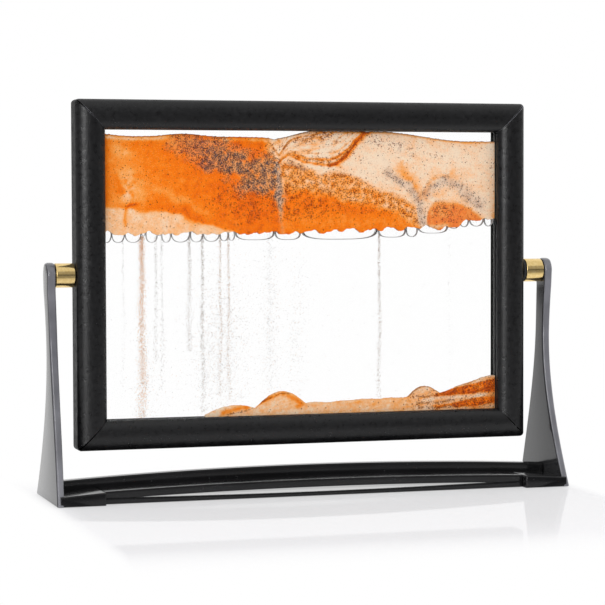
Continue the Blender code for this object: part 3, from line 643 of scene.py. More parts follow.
def mix(first, second, share):
    """The first where the share is 0, the second where it is 1."""
    return first * (1 - share) + second * share


def most(*values):
    return np.maximum.reduce(np.broadcast_arrays(*values))


def between(value, low, high):
    """0 below the low value and 1 above the high one, with a smooth step from one to the other."""
    t = np.clip((value - low) / (high - low), 0.0, 1.0)
    return t * t * (3 - 2 * t)


def line_distance(x, z, points):
    """Distance from an open line through the given points."""
    nearest = np.full(x.shape, np.inf)
    for (start_x, start_z), (end_x, end_z) in zip(points, points[1:]):
        run, rise = end_x - start_x, end_z - start_z
        share = np.clip(((x - start_x) * run + (z - start_z) * rise) / (run * run + rise * rise), 0.0, 1.0)
        nearest = np.minimum(nearest, np.hypot(x - start_x - share * run, z - start_z - share * rise))
    return nearest


def trail(x, z, points, width):
    """1 along an open line, fading to either side of it."""
    return bell(line_distance(x, z, points), 0.0, width)


def level_of(x, points):
    """Height of a line through the given points."""
    return np.interp(x, [point[0] for point in points], [point[1] for point in points])


def under(x, z, points, soft):
    """1 below a line through the given points, 0 above it."""
    return 1 - between(z - level_of(x, points), -soft, soft)


# Rows in the two grids of sand, and where the mound starts
HELD_ROWS = 98
MOUND_ROWS = 34
MOUND_START = -54.0
SAND_FLOOR = -SIGHT_Z / MM - 0.4
# Where sand has run out between the bubbles
FUNNEL_X = -13.0
SECOND_FUNNEL_X = 67.0


def upper_top(x):
    """Top edge of the held-up sand."""
    swell = 1.1 * bell(x, -108.0, 9.0) + 1.5 * bell(x, -65.0, 12.0)
    crest = 3.4 * between(x, -14.0, 6.0) - 5.0 * between(x, 40.0, 92.0)
    notch = 1.3 * cusp(x, FUNNEL_X - 3.0, 3.5)
    return np.minimum(SIGHT_Z / MM - 3.15 + swell + crest - notch, SIGHT_Z / MM + 0.1)


def upper_floor(x):
    """Lower edge of that sand, lumpy over the bubbles."""
    tilt = 21.0 + 1.4 * between(x, -15.0, 35.0) + 1.0 * between(x, 40.0, 60.0) + 4.4 * between(x, 84.0, 95.0)
    lumps = 1.1 * np.sin(x / 2.3) * np.sin(x / 7.1 + 0.6) + 0.7 * np.sin(x / 1.15 + 2.0) * np.sin(x / 3.9)
    return tilt + lumps


def dome(x, centre, reach, height, power):
    """A heap over x; the power sets how peaked it is."""
    return height * np.clip(1.0 - ((x - centre) / reach) ** 2, 0.0, 1.0) ** power


def mound_top(x):
    """Surface of the fallen sand."""
    bank = 6.1 * between(x, -14.0, 4.0) + 1.1 * between(x, 10.0, 45.0) + 11.2 * between(x, 64.0, 112.0)
    heap = np.maximum(dome(x, -37.0, 19.0, 5.7, 1.1), dome(x, -12.0, 21.0, 12.4, 1.7))
    swell = 0.30 * np.sin(x / 2.9) * np.sin(x / 8.3) * between(x, 0.0, 12.0)
    small = dome(x, SECOND_FUNNEL_X, SMALL_DOME_REACH, 6.0, 1.35)
    return SAND_FLOOR + np.maximum(bank + small + swell, heap)


def mound_floor(x):
    return np.full_like(x, SAND_FLOOR)


def slab(name, columns, top, floor, rows, fields, replaced):
    """Sand between the panes, as a fine grid front and back with its fields on it."""
    low = floor(columns) + 0.45 * smooth_noise(columns, columns * 0.0, 1.3, 8.0)
    high = np.maximum(top(columns) + 0.28 * smooth_noise(columns, columns * 0.0, 1.1, 3.0), low + SAND_LEAST)
    x = np.repeat(columns[:, None], rows, 1)
    z = low[:, None] + (high - low)[:, None] * np.linspace(0.0, 1.0, rows)[None, :]
    y = np.full_like(x, -CHAMBER_HALF / MM)
    y[:, -1] *= 1 - SAND_CREST_SHY
    front = np.stack([x, y, z], -1).reshape(-1, 3)
    back = front * np.array([1.0, -1.0, 1.0])
    loops = []
    for first in range(0, x.size, rows):
        column = list(range(first, first + rows))
        loops.append(column + [x.size + index for index in reversed(column)])
    faces = []
    for here, beyond in zip(loops, loops[1:]):
        faces += [(here[k - 1], beyond[k - 1], beyond[k], here[k]) for k in range(2 * rows)]
    for loop, turn in ((loops[0], 1), (loops[-1], -1)):
        faces += [(loop[k], loop[k + 1], loop[-2 - k], loop[-1 - k])[::turn] for k in range(rows - 1)]
    mesh = bpy.data.meshes.new(name)
    mesh.from_pydata((np.concatenate([front, back]) * MM).tolist(), [], faces)
    for key, values in fields(x, z, high[:, None], low[:, None]).items():
        paint(mesh, key, np.tile(values.ravel(), 2).astype(np.float32))
    return finish_piece(name, mesh, sand_material(name), "picture", CENTRE, replaced, sharp=60.0)


# Folded layers over the first outlet, as points along the lowest and the highest of them
LOW_FOLD = (
    (-42, 66.5), (-26, 65.6), (-20, 63.8), (-16.5, 61), (-13.6, 57.3), (-11, 60),
    (-8.5, 61.3), (-5, 60.2), (0, 57.9), (6, 56.9), (14, 56.2), (19, 57.7),
    (24.5, 62.5), (28, 67.3), (31.7, 71.2), (36, 75),
)
HIGH_FOLD = (
    (-42, 71.6), (-26, 71.2), (-20, 70), (-17, 66), (-13.8, 61.6), (-11.3, 65.5),
    (-8.5, 69), (-4, 71), (4, 72.8), (14, 75), (30, 82),
)
# The end of the lowest, which sweeps up to the right
SWEEP = LOW_FOLD[10:]
# Level between them, half thickness in millimetres, tone and darkness of each layer
FOLDS = (
    (0.97, 0.60, 0.46, 0.72), (0.86, 0.70, 0.30, 0.42), (0.66, 0.45, 0.18, 0.32),
    (0.50, 0.45, 0.12, 0.24), (0.34, 0.45, 0.16, 0.30), (0.17, 0.80, 0.50, 0.42), (0.00, 1.30, 0.66, 0.42),
)
# Tops of the broad areas of the held-up sand, as points along them
PALE_WEDGE = ((-110, 34.5), (-99, 33.5), (-88, 32), (-78, 32.5), (-62, 29), (-46, 24), (-32, 18))
DIRTY_BAND = (
    (-13, 57.5), (-8, 59), (0, 56.5), (4, 54), (7, 52), (20, 52), (30, 49), (38, 45.8), (50, 42),
    (58, 38), (63, 31.5), (66, 20),
)
DEEP_ORANGE = (
    (-13, 43), (1, 43.5), (12, 40.5), (30, 36.5), (42, 34.5), (50, 32), (57, 28), (64, 24), (70, 8),
)
LUMP = ((68, 24), (70, 32), (73, 36.7), (82, 36), (88, 36.7), (92.5, 33.6), (98, 29.5), (106, 24))
GRAINY_BELT = ((-60, 32), (-45, 46), (-20, 48), (-5, 42), (20, 38), (45, 32), (60, 24))
# Middles of its narrow streaks
PALE_ARM_LEFT = ((54, 57), (58, 52.4), (61.5, 48.2), (64.8, 44.2), (66.5, 38))
PALE_ARM_RIGHT = ((67.5, 38), (69.9, 44.7), (73, 48.6), (78, 50.4), (83, 51.6))
GREY_SLOPE = ((45, 53), (52.4, 50.5), (58.7, 47), (63, 41.4), (65.5, 35), (66.5, 22))
GREY_ARCH = ((69, 41), (72.3, 44.6), (78, 47), (84.2, 47), (90, 43.8), (94, 39), (98, 35))
DARK_CLOUD = ((-68, 68), (-56, 65), (-42, 59), (-24, 51))


def upper_fields(x, z, high, low):
    """Tone from cream at 0 to deep orange at 1, greyness, dark grains and thin brown lines."""
    warp = smooth_noise(x, z, 24.0, 1.0)
    sway = smooth_noise(x, z, 20.0, 12.0)
    small = smooth_noise(x, z, 8.0, 5.0)
    fine = smooth_noise(x, z, 2.6, 9.0)
    streaky = smooth_noise(0.16 * x, z + 0.12 * x, 2.4, 15.0)
    u = x + 2.2 * warp + 1.2 * small
    v = z + 2.0 * sway + 1.2 * small
    depth = high - z

    # Where each point lies among the folded layers
    fold_x = x + 0.9 * small
    fold_z = z + 0.7 * small + 0.35 * fine
    lowest = level_of(fold_x, LOW_FOLD)
    gap = np.maximum(level_of(fold_x, HIGH_FOLD) - lowest, 1.0)
    layer = (fold_z - lowest) / gap
    strata = smooth_noise(0.15 * fold_x, 8.5 * layer, 1.0, 21.0)
    folded = between(layer, -0.05, 0.03) * (1 - between(x, 33.0, 37.0))
    side = between(x, FUNNEL_X - 2.0, FUNNEL_X + 1.0)
    side = mix(side, between(x, FUNNEL_X - 10.0, FUNNEL_X - 3.5), folded)

    # Left: golden orange with a pale patch, a pale wedge along the bottom and a pale skin on top
    patch = 0.50 * bell(u, -95.0, 7.5) * bell(v, 44.5, 10.0)
    patch = patch + 0.22 * bell(u, -100.0, 7.0) * bell(v, 63.0, 4.5)
    patch = patch * between(small + 0.8 * fine, -0.8, 0.3)
    wedge = under(u, v, PALE_WEDGE, 1.3)
    bare = between(x, -80.0, -68.0) * (1 - 0.75 * between(x, -50.0, -38.0))
    skin_top = bell(depth, 1.4, 1.0) * (0.52 + 0.2 * small) * (1 - bare)
    lens = trail(u, v, ((-84, 38), (-72, 34), (-62, 30)), 4.0)
    streak = trail(u, v, ((-80, 43), (-66, 38), (-52, 31)), 2.4)
    left = 0.74 + 0.12 * between(u, -72.0, -48.0) - patch + 0.14 * bell(u, -108.0, 3.0) + 0.10 * warp
    left = left + 0.14 * lens - 0.16 * streak + 0.08 * fine
    left = mix(left, 0.24 + 0.10 * small + 0.05 * fine, wedge) - skin_top
    stain = trail(u, v, ((-91, 36), (-94, 35), (-95.5, 33), (-95.5, 25)), 0.9)
    left = left + 0.36 * stain

    # Right: cream over a mottled golden layer, and a deep orange bottom with brighter lobes
    dirty = under(u, v, DIRTY_BAND, 2.2)
    deep = under(u, v, DEEP_ORANGE, 2.6)
    right = 0.09 + 0.12 * small + 0.10 * warp + 0.08 * streaky
    right = mix(right, 0.46 + 0.22 * fine + 0.14 * streaky, dirty)
    right = mix(right, 0.82 + 0.10 * fine - 0.12 * bell(v, 26.0, 5.0), deep)
    arms = most(trail(u, v, PALE_ARM_LEFT, 2.3), trail(u, v, PALE_ARM_RIGHT, 2.0))
    arms = arms * between(fine + small, -0.9, 0.3)
    right = right + 0.30 * arms * (1 - deep) + 0.10 * bell(x, 66.0, 8.0) * bell(z, 53.0, 6.0)
    lump = under(u, v + 0.9 * fine, LUMP, 2.1) * between(u, 66.5, 69.5)
    right = mix(right, 0.72 + 0.20 * fine + 0.16 * small, lump)
    right = right - 0.40 * lump * trail(x, z, ((70, 23.6), (80, 24.2)), 1.0)
    right = right + 0.30 * bell(x, 109.0, 2.5) * between(fine + 0.4 * small, -0.2, 0.5)

    # Grey plumes under both outlets, and a grey arch over the orange lump
    width = 1.0 + 1.7 * bell(z, 41.0, 5.0) + 0.5 * bell(z, 55.0, 4.0)
    plume = bell(x + 0.9 * small + 0.5 * fine, FUNNEL_X - 1.0 + 0.06 * (50.0 - z), width)
    plume = plume * (1 - folded) * (1 - 0.75 * between(-z, -37.0, -27.0)) * between(fine, -0.9, -0.2)
    second = trail(u, v, GREY_SLOPE, 2.3)
    arch = trail(u, v, GREY_ARCH, 2.9)
    third = trail(u, v, ((-8, 57.5), (-4, 56.5), (1, 54.3)), 1.1)
    soft = 0.4 + 0.6 * between(fine + 0.6 * small, -1.2, 0.3)
    grey = 0.66 * plume + (0.62 * second + 0.56 * arch * (1 - 0.8 * lump) + 0.5 * third) * soft + 0.16 * lump

    # Thin brown lines: the crust, the folded layers, and the broad sweep at their right end
    line = (1 - between(depth, 0.20, 0.75)) * (0.85 + 0.25 * small)
    tone_fold = np.zeros_like(x)
    broken = between(fine + 0.7 * small + 0.5 * streaky, -1.0, 0.3)
    for level, half, tone_step, dark in FOLDS:
        band = bell((layer - level) * gap, 0.0, half * (0.8 + 0.5 * small + 0.35 * fine)) * folded * side
        tone_fold = most(tone_fold, tone_step * band)
        line = most(line, dark * band * broken)
    sweep = trail(fold_x, fold_z, SWEEP, 0.8 + 0.8 * between(x, 15.0, 24.0))
    line = most(line, sweep * between(layer, -0.10, 0.10) * (0.50 + 0.5 * fine))
    line = most(line, 0.40 * between(strata, 0.15, 0.60) * folded * side * broken)
    tone_fold = tone_fold + (0.26 * strata + 0.10 * fine) * folded
    faint = trail(u, v, ((36, 70), (44, 68), (50, 65.5), (60, 62.5)), 2.0)
    mauve = trail(u, v, ((69, 62.5), (77, 61.5)), 1.3)
    veins = trail(u, v, ((88, 64), (98, 60), (110, 58)), 0.8) * 0.3
    line = most(line, (0.50 * faint + 0.34 * mauve) * between(fine, -0.3, 0.5) + veins)
    right = right + tone_fold + 0.66 * sweep + 0.30 * (1 - between(depth, 0.6, 1.6)) * between(x, -8.0, 4.0)
    tone = mix(left, right, side) + 0.42 * bell(x, FUNNEL_X - 1.5, 2.2) * bell(depth, 1.7, 1.1)
    tone = tone * (1 - 0.72 * np.clip(plume + (second + 0.6 * arch) * (1 - arms) * (1 - lump), 0.0, 1.0))

    # Dark grains: thick in one cloud beside the outlet, thinner under it and in the lump
    cloud = trail(u, v, DARK_CLOUD, 6.5 + 0.12 * (u + 68)) + 0.40 * small + 0.15 * fine
    cloud = between(cloud, 0.20, 0.90) * (1 - between(x, FUNNEL_X - 3.0, FUNNEL_X + 1.0))
    thick = 0.3 + 0.7 * between(u, -72.0, -50.0)
    belt = under(u, v, GRAINY_BELT, 4.0)
    belt = belt * between(u, -62.0, -40.0) * (1 - between(u, 48.0, 62.0)) * between(z - low, 4.0, 13.0)
    cluster = between(fine + 0.8 * small, -0.1, 0.5)
    dust = 0.020 + 0.86 * cloud * thick + (0.10 + 0.40 * cluster * bell(u, -2.0, 22.0)) * belt
    dust = dust + 0.38 * lump * bell(u, 77.0, 6.0) * bell(v, 33.0, 3.5) + 0.06 * lump
    dust = dust + 0.20 * mauve + 0.22 * faint
    dust = dust + 0.34 * plume + 0.22 * second * soft + 0.20 * arch * soft
    dust = dust + 0.30 * dirty * side * (1 - deep)
    banded = bell(layer, 0.9, 0.12) + bell(layer, 0.1, 0.12) + 0.6 * between(strata, 0.0, 0.5)
    dust = dust + 0.34 * side * folded * banded * (1 - between(x, 22.0, 34.0)) + 0.30 * sweep
    dust = dust * (0.75 + 1.0 * fine)
    tone = tone - (0.12 + (0.26 + 0.20 * fine) * between(u, -58.0, -34.0)) * cloud
    grey = np.clip(grey + 0.34 * cloud * soft * thick, 0.0, 1.0)
    return {"tone": tone, "grey": grey, "dust": dust, "line": line}


# Dark layers of the right bank, as points along the upper and the lower edge of each
BANK_LAYERS = (
    (
        ((70, -66), (78, -64.4), (92, -61.2), (109, -58.4)),
        ((70, -66.9), (78, -66.8), (92, -66.3), (109, -65.4)),
    ),
    (
        ((80, -71.6), (86, -70.4), (95, -68.9), (109, -67.9)),
        ((80, -72.5), (86, -73.6), (95, -72.6), (109, -71.5)),
    ),
)
# Thin seams near the bottom, with their widths, warped by the noise or not
SEAMS = (
    (((-42, -73.4), (-35, -72.6), (-29, -70.9)), 0.55, False),
    (((60, -66.9), (67, -67.3), (74, -66.6)), 0.60, False),
    (((62, -70.6), (76, -70.2), (84, -69.2)), 0.65, True),
    (((62, -73.0), (86, -72.8)), 0.65, True),
)


def mound_fields(x, z, high, low):
    """The same four fields for the fallen sand."""
    warp = smooth_noise(x, z, 14.0, 2.0)
    small = smooth_noise(x, z, 6.0, 7.0)
    fine = smooth_noise(x, z, 2.2, 4.0)
    streaky = smooth_noise(0.12 * x, z - 0.16 * x, 1.5, 6.0)
    u = x + 1.5 * warp + small
    v = z + 0.5 * warp + 0.5 * small
    depth = high - z
    right = between(x, 46.0, 84.0)
    layers = np.zeros_like(x)
    for upper_edge, lower_edge in BANK_LAYERS:
        layer = under(u, v, upper_edge, 0.8) * (1 - under(u, v, lower_edge, 0.8))
        layers = layers + layer * between(u, 68.0, 78.0)

    # The heap, the dome and the small dome each have a golden skin over a peach middle
    golden = most(
        trail(x, z, ((-27, -69.5), (-21, -66.2), (-14, -63.6)), 1.0),
        trail(x, z, ((-12, -63.4), (-5, -66.4), (-1, -69.5), (-4, -70.6)), 1.3),
        trail(x, z, ((-45, -72.6), (-36, -70.8), (-31, -70.4)), 1.3),
    )
    second_dome = dome(x, SECOND_FUNNEL_X, SMALL_DOME_REACH, 1.0, 1.0)
    tone = 0.22 + 0.18 * small + 0.14 * fine + 0.08 * between(x, 0.0, 60.0) - 0.12 * between(-x, 42.0, 50.0)
    tone = tone + 0.42 * golden + 0.26 * streaky * (0.4 + 0.6 * right) + 0.60 * layers
    tone = tone - 0.05 * second_dome * under(x, z, ((50, -66.2), (80, -66.2)), 0.5)

    rim = between(second_dome, 0.0, 0.3)
    crust = (1 - between(depth, 0.15, 0.65 + 0.6 * rim)) * (0.16 + 0.62 * rim)
    ridge = trail(x, z, ((-28, -70.0), (-21, -66.2), (-14, -63.3), (-9, -63.4)), 0.60)
    seams = most(*[trail(*((u, v) if warped else (x, z)), points, width) for points, width, warped in SEAMS])
    dotted = between(fine + 0.5 * small, -0.5, 0.3)
    broken = 0.50 * layers * between(fine + streaky, -0.2, 0.7)
    line = most(crust, most(0.85 * ridge, 0.80 * seams) * dotted, broken)
    dust = 0.008 + 0.50 * layers * between(fine, -0.5, 0.4) + 0.30 * seams + 0.16 * ridge + 0.10 * right
    return {"tone": tone, "grey": 0.14 * right * (1 - layers), "dust": dust, "line": line}


def build_sand():
    inner = (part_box("sand_upper")[1].x - CENTRE.x) / MM
    columns = np.arange(-inner, inner + 0.3, SAND_COLUMN / MM)
    slab("held_sand", columns, upper_top, upper_floor, HELD_ROWS, upper_fields, ["sand_upper"])
    columns = np.arange(MOUND_START, inner + 0.3, SAND_COLUMN / MM)
    slab("fallen_sand", columns, mound_top, mound_floor, MOUND_ROWS, mound_fields, ["sand_lower"])


def build_liquid():
    """Clear liquid through the whole cell, just behind the faces of the sand."""
    low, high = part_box("clear_liquid")
    half = CHAMBER_HALF - LIQUID_SHY
    sections = [(low.x, LIQUID_EDGE), (low.x + LIQUID_EDGE, 0.0)]
    sections += [(high.x - LIQUID_EDGE, 0.0), (high.x, LIQUID_EDGE)]
    rings = []
    for x, inset in sections:
        y = half - inset
        bottom, top = low.z + inset, high.z - inset
        rings.append([(x, -y, bottom), (x, y, bottom), (x, y, top), (x, -y, top)])
    mesh = mesh_of("liquid_body", skin(rings))
    finish_piece("liquid_body", mesh, LIQUID, "picture", replaced=["clear_liquid"])


# Bubbles: (width, height) from left to right, in millimetres
BUBBLES = (
    (5, 7), (6.8, 6.5), (8.6, 6.6), (2.2, 2.2), (6.2, 5.6), (2, 2.2), (4.8, 5), (10.2, 7.4),
    (6.7, 5.6), (9, 7.2), (4.4, 4.8), (3.4, 3.6), (21.6, 7.6), (14.2, 7.2), (42.6, 9),
    (15.8, 7.4), (6.5, 6.2), (17.2, 6.6), (6.4, 5.6), (5.4, 6.4), (8.6, 7.8), (5, 6.4),
)
# How much of each is hidden by the sand over it, and how they are set in the row and the cell
BUBBLE_HIDDEN = 2.2
BUBBLE_START = 1.0
BUBBLE_SPACING = 0.1
BUBBLE_FILM = 0.12
BUBBLE_RIM = 0.17
BUBBLE_STEPS = 44
BUBBLE_FLATNESS = 0.97
# Their swell through the depth of the cell, as (share of the half depth, share of the outline)
BUBBLE_SWELL = ((-1.0, 0.94), (-0.8, 0.985), (0.0, 1.0), (0.8, 0.985), (1.0, 0.94))
# Narrow ones float higher, and wide ones are squarer
NARROW_BUBBLE = 3.0
NARROW_LIFT = 3.4
WIDE_BUBBLE = 12.0
WIDE_POWER = 0.62
ROUND_POWER = 0.86


def bubble_floor(x):
    """Lowest points of the row of bubbles."""
    return 16.4 + 0.9 * between(x, -60.0, -30.0) + 0.9 * between(x, 42.0, 48.0) + 5.6 * between(x, 56.0, 96.0)


def bubble_outline(width, height):
    power = WIDE_POWER if width > WIDE_BUBBLE else ROUND_POWER
    points = []
    for step in range(BUBBLE_STEPS):
        angle = math.tau * step / BUBBLE_STEPS
        c, s = math.cos(angle), math.sin(angle)
        x = math.copysign(abs(c) ** power, c) * width / 2
        z = math.copysign(abs(s) ** power, s) * height / 2
        points.append((x, z))
    return points


def build_bubbles(film, rim):
    start = -SIGHT_X / MM - BUBBLE_START
    half = CHAMBER_HALF / MM - BUBBLE_FILM
    for number, (width, height) in enumerate(BUBBLES):
        centre_x = start + width / 2
        start += width + BUBBLE_SPACING
        height += BUBBLE_HIDDEN
        centre_z = float(bubble_floor(centre_x)) + height / 2
        if width < NARROW_BUBBLE:
            centre_z += NARROW_LIFT
        flat = [max(0.1, 1 - 2 * BUBBLE_RIM / size) for size in (width, height)]
        swell = [(half * place, share, share) for place, share in BUBBLE_SWELL]
        sections = [(-half, *flat)] + swell + [(half, *flat)]
        outline = bubble_outline(width, height)
        mesh = mesh_of("bubble", skin([[(x * a, y, z * b) for x, z in outline] for y, a, b in sections]))
        for vertex in mesh.vertices:
            vertex.co *= MM
        name = "bubble_{:02d}".format(number + 1)
        place = CENTRE + Vector((centre_x, 0.0, centre_z)) * MM
        # The rim material paints a grey outline where the bubble wall turns edge on: painted shade, not a
        # coloured skin
        finish_piece(name, mesh, rim, "picture", place, sharp=60.0)
        mesh.materials.append(film)
        for face in mesh.polygons:
            face.material_index = int(abs(face.normal.y) > BUBBLE_FLATNESS)


# Falling grains: (place, width, end, count, grain size, paleness) in millimetres
STREAMS = (
    (-97, 0.45, -60, 190, 0.14, 0.2), (-87.2, 1.15, -74, 3300, 0.17, 0.8),
    (-87.2, 1.5, -74, 340, 0.15, 0.1), (-79.8, 0.60, -45, 460, 0.15, 0.25),
    (-76.6, 0.60, -60, 360, 0.15, 0.2), (-62, 0.70, -40, 760, 0.155, 0.3),
    (-55, 0.60, -72, 1200, 0.155, 0.3), (-45.4, 0.50, -64, 760, 0.15, 0.45),
    (-41, 0.50, -66, 860, 0.15, 0.45), (42, 0.55, -67, 1150, 0.155, 0.35),
    (-18.9, 1, -60, 260, 0.13, 0.1), (81.7, 0.6, -60, 110, 0.12, 0.2),
)
# How far a stream reaches up between the bubbles, in millimetres
STREAM_RISE = 3.2

# Drifting clouds of grains: (x, z, width, height, count)
CLOUDS = (
    (-46, -38, 17, 46, 2800), (-18, -30, 6, 60, 800), (-4, -34, 6, 50, 420),
    (8, -25, 90, 60, 420), (-84, -55, 12, 30, 350),
)
CLOUD_GRAIN = 0.13
CLOUD_PALENESS = 0.15

# Each grain is an octahedron
GRAIN_CORNERS = ((1, 0, 0), (-1, 0, 0), (0, 1, 0), (0, -1, 0), (0, 0, 1), (0, 0, -1))
GRAIN_SIDES = ((0, 2, 4), (2, 1, 4), (1, 3, 4), (3, 0, 4), (2, 0, 5), (1, 2, 5), (3, 1, 5), (0, 3, 5))
GRAIN_HALF_DEPTH = 0.8


def build_grains(material):
    """Loose grains in the liquid, under the gaps between bubbles."""
    draw = random.Random(7)
    places = []
    for centre, width, end, count, grain, paleness in STREAMS:
        top = float(bubble_floor(centre)) + STREAM_RISE
        for _ in range(count):
            fall = draw.random() ** 1.25
            z = top + (end - top) * fall
            wander = 0.5 * math.sin(z / 9.0 + centre) * fall
            x = centre + wander + draw.gauss(0.0, width * (0.6 + 0.8 * fall))
            size = grain * draw.uniform(0.6, 1.3)
            places.append((x, z, size, 1.0 - paleness * draw.uniform(0.8, 1.2)))
    for x, z, wide, high, count in CLOUDS:
        for _ in range(count):
            place = (x + draw.gauss(0.0, wide / 2), z + draw.gauss(0.0, high / 2))
            size = CLOUD_GRAIN * draw.uniform(0.6, 1.5)
            places.append((*place, size, 1.0 - CLOUD_PALENESS * draw.uniform(0.0, 4.0)))
    verts, faces, tones = [], [], []
    limit_x = SIGHT_X / MM - 1.0
    for x, z, size, tone in places:
        ceiling = float(bubble_floor(x)) + STREAM_RISE
        floor = max(float(mound_top(x)) + 0.4, -SIGHT_Z / MM)
        if abs(x) > limit_x or z > ceiling or z < floor:
            continue
        depth = draw.uniform(-GRAIN_HALF_DEPTH, GRAIN_HALF_DEPTH)
        first = len(verts)
        for corner in GRAIN_CORNERS:
            verts.append([(middle + step * size) * MM for middle, step in zip((x, depth, z), corner)])
        faces += [[first + index for index in side] for side in GRAIN_SIDES]
        tones += [tone] * len(GRAIN_CORNERS)
    mesh = bpy.data.meshes.new("falling_grains")
    mesh.from_pydata(verts, [], faces)
    paint(mesh, "tone", tones)
    finish_piece("falling_grains", mesh, material, "picture", CENTRE, sharp=20.0)


def grain_material():
    g = Graph("falling_grains")
    speck = g.noise(g.place(), 3000.0, 2.0)
    colour = g.ramp(
        g.plus(g.attribute("tone"), g.swing(speck, 0.3)),
        (0.0, (0.93, 0.62, 0.37)),
        (0.35, (0.87, 0.52, 0.29)),
        (0.7, (0.42, 0.36, 0.32)),
        (1.0, (0.13, 0.12, 0.12)),
    )
    g.feed("Base Color", colour)
    g.set(Roughness=0.8)
    return g.material


# Stand


def upright_inner(height):
    start = PIVOT_HEIGHT - UPRIGHT_BOW_TOP
    below = max(0.0, (start - height) / start)
    return UPRIGHT_X + UPRIGHT_SPLAY * below * below - UPRIGHT_TUCK * below


def upright_thickness(height):
    share = min(1.0, height / PIVOT_HEIGHT)
    return UPRIGHT_FOOT_THICKNESS + share * (UPRIGHT_THICKNESS - UPRIGHT_FOOT_THICKNESS)


def upright_half_depth(height):
    if height < UPRIGHT_WAIST_HEIGHT:
        below = (UPRIGHT_WAIST_HEIGHT - height) / UPRIGHT_WAIST_HEIGHT
        flare = below * below * (1.0 + UPRIGHT_FLARE_EASE - UPRIGHT_FLARE_EASE * below)
        return UPRIGHT_WAIST_HALF_DEPTH + flare * (UPRIGHT_FOOT_HALF_DEPTH - UPRIGHT_WAIST_HALF_DEPTH)
    above = (height - UPRIGHT_WAIST_HEIGHT) / (PIVOT_HEIGHT - UPRIGHT_WAIST_HEIGHT)
    return UPRIGHT_WAIST_HALF_DEPTH + above * above * (UPRIGHT_HALF_DEPTH - UPRIGHT_WAIST_HALF_DEPTH)


def rounded_ring(centre_x, width, half_depth, height, radius):
    corner = min(radius, min(width / 2, half_depth) * 0.98)
    ring = []
    for turn in range(4):
        sign_x = 1 if turn in (0, 3) else -1
        sign_y = 1 if turn in (0, 1) else -1
        corner_x = centre_x + sign_x * (width / 2 - corner)
        corner_y = sign_y * (half_depth - corner)
        for step in range(EDGE_STEPS + 1):
            angle = math.pi / 2 * (turn + step / EDGE_STEPS)
            ring.append((corner_x + corner * math.cos(angle), corner_y + corner * math.sin(angle), height))
    return ring


def upright_rings(side):
    rings = []
    foot = FLOOR_GAP
    for height in [foot] + spread(foot + UPRIGHT_FOOT_CHAMFER_HEIGHT, PIVOT_HEIGHT, UPRIGHT_RINGS):
        thickness = upright_thickness(height)
        centre = side * (upright_inner(height) + thickness / 2)
        half_depth = upright_half_depth(height)
        if height == foot:
            thickness -= 2 * UPRIGHT_FOOT_CHAMFER
            half_depth -= UPRIGHT_FOOT_CHAMFER
        rings.append(rounded_ring(centre, thickness, half_depth, height, UPRIGHT_EDGE))
    centre = side * (UPRIGHT_X + UPRIGHT_THICKNESS / 2)
    radius = UPRIGHT_HALF_DEPTH
    for step in range(1, TOP_STEPS):
        angle = math.pi / 2 * step / TOP_STEPS
        height = PIVOT_HEIGHT + radius * math.sin(angle)
        half_depth = radius * math.cos(angle)
        lift = max(0.0, UPRIGHT_EDGE - radius * (1.0 - math.sin(angle)))
        trim = UPRIGHT_EDGE - math.sqrt(UPRIGHT_EDGE ** 2 - lift ** 2)
        rings.append(rounded_ring(centre, UPRIGHT_THICKNESS - 2 * trim, half_depth, height, UPRIGHT_EDGE))
    return rings


def block_top(x):
    """The foot block's top, rising from the plate to its inner end."""
    start = upright_inner(FLOOR_GAP)
    share = min(1.0, max(0.0, (start - abs(x)) / FOOT_BLOCK_REACH))
    return FOOT_BLOCK_TOP + FOOT_BLOCK_RISE * share


def foot_block(side, tip):
    """The block that joins an upright's foot to the crossbar, bevelled at its inner end."""
    bevel = quarter(FOOT_BLOCK_BEVEL, FOOT_BLOCK_BEVEL_STEPS)
    depth = upright_half_depth(FLOOR_GAP) - FOOT_BLOCK_INSET
    underside = FLOOR_GAP + FOOT_BLOCK_LIFT

    def outline(top):
        points = [(-depth, underside)] + [(a - depth, top - b) for a, b in bevel]
        return points + [(-y, z) for y, z in reversed(points)]

    root = side * (upright_inner(FLOOR_GAP) + upright_thickness(FLOOR_GAP) / 2)
    rings = [[(root, y, z) for y, z in outline(block_top(root))]]
    for drawn, back in bevel:
        x = tip + side * back
        narrowed = 1 - drawn / depth
        rings.append([(x, y * narrowed, max(underside, z - drawn * 0.5)) for y, z in outline(block_top(x))])
    return skin(rings)


# How far inward of the plate the block's finish starts, and which way the faces of the rim look that are
# painted paler as a sheen
BLOCK_MARGIN = 0.1 * MM
SHEEN_RIM_ACROSS = 0.80
SHEEN_RIM_DOWN = -0.5


def finish_faces(piece):
    """The foot block, inward of the plate, has the base's finish, and the plate's rim a paler one, which is a
    painted sheen.
    """
    piece.data.materials.append(BASE_BLACK)
    piece.data.materials.append(PLATE_EDGE_SHEEN)
    block_height = FOOT_BLOCK_TOP + FOOT_BLOCK_RISE
    for face in piece.data.polygons:
        centre = face.center
        if centre.z < block_height and abs(centre.x) < upright_inner(centre.z) - BLOCK_MARGIN:
            face.material_index = 1
        # Rim faces get the paler copy of the black, a painted sheen
        elif abs(face.normal.x) < SHEEN_RIM_ACROSS and face.normal.z > SHEEN_RIM_DOWN:
            face.material_index = 2


def build_uprights():
    for side, word in ((-1, "left"), (1, "right")):
        mesh = mesh_of("plate", skin(upright_rings(side)))
        name = word + "_plate"
        piece = finish_piece(name, mesh, PLATE_LIT_BLACK, "stand", replaced=[word + "_upright"])
        low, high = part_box(word + "_upright")
        tip = low.x if side > 0 else high.x
        boolean(piece, foot_block(side, tip), "UNION", "join_block")
        finish_faces(piece)


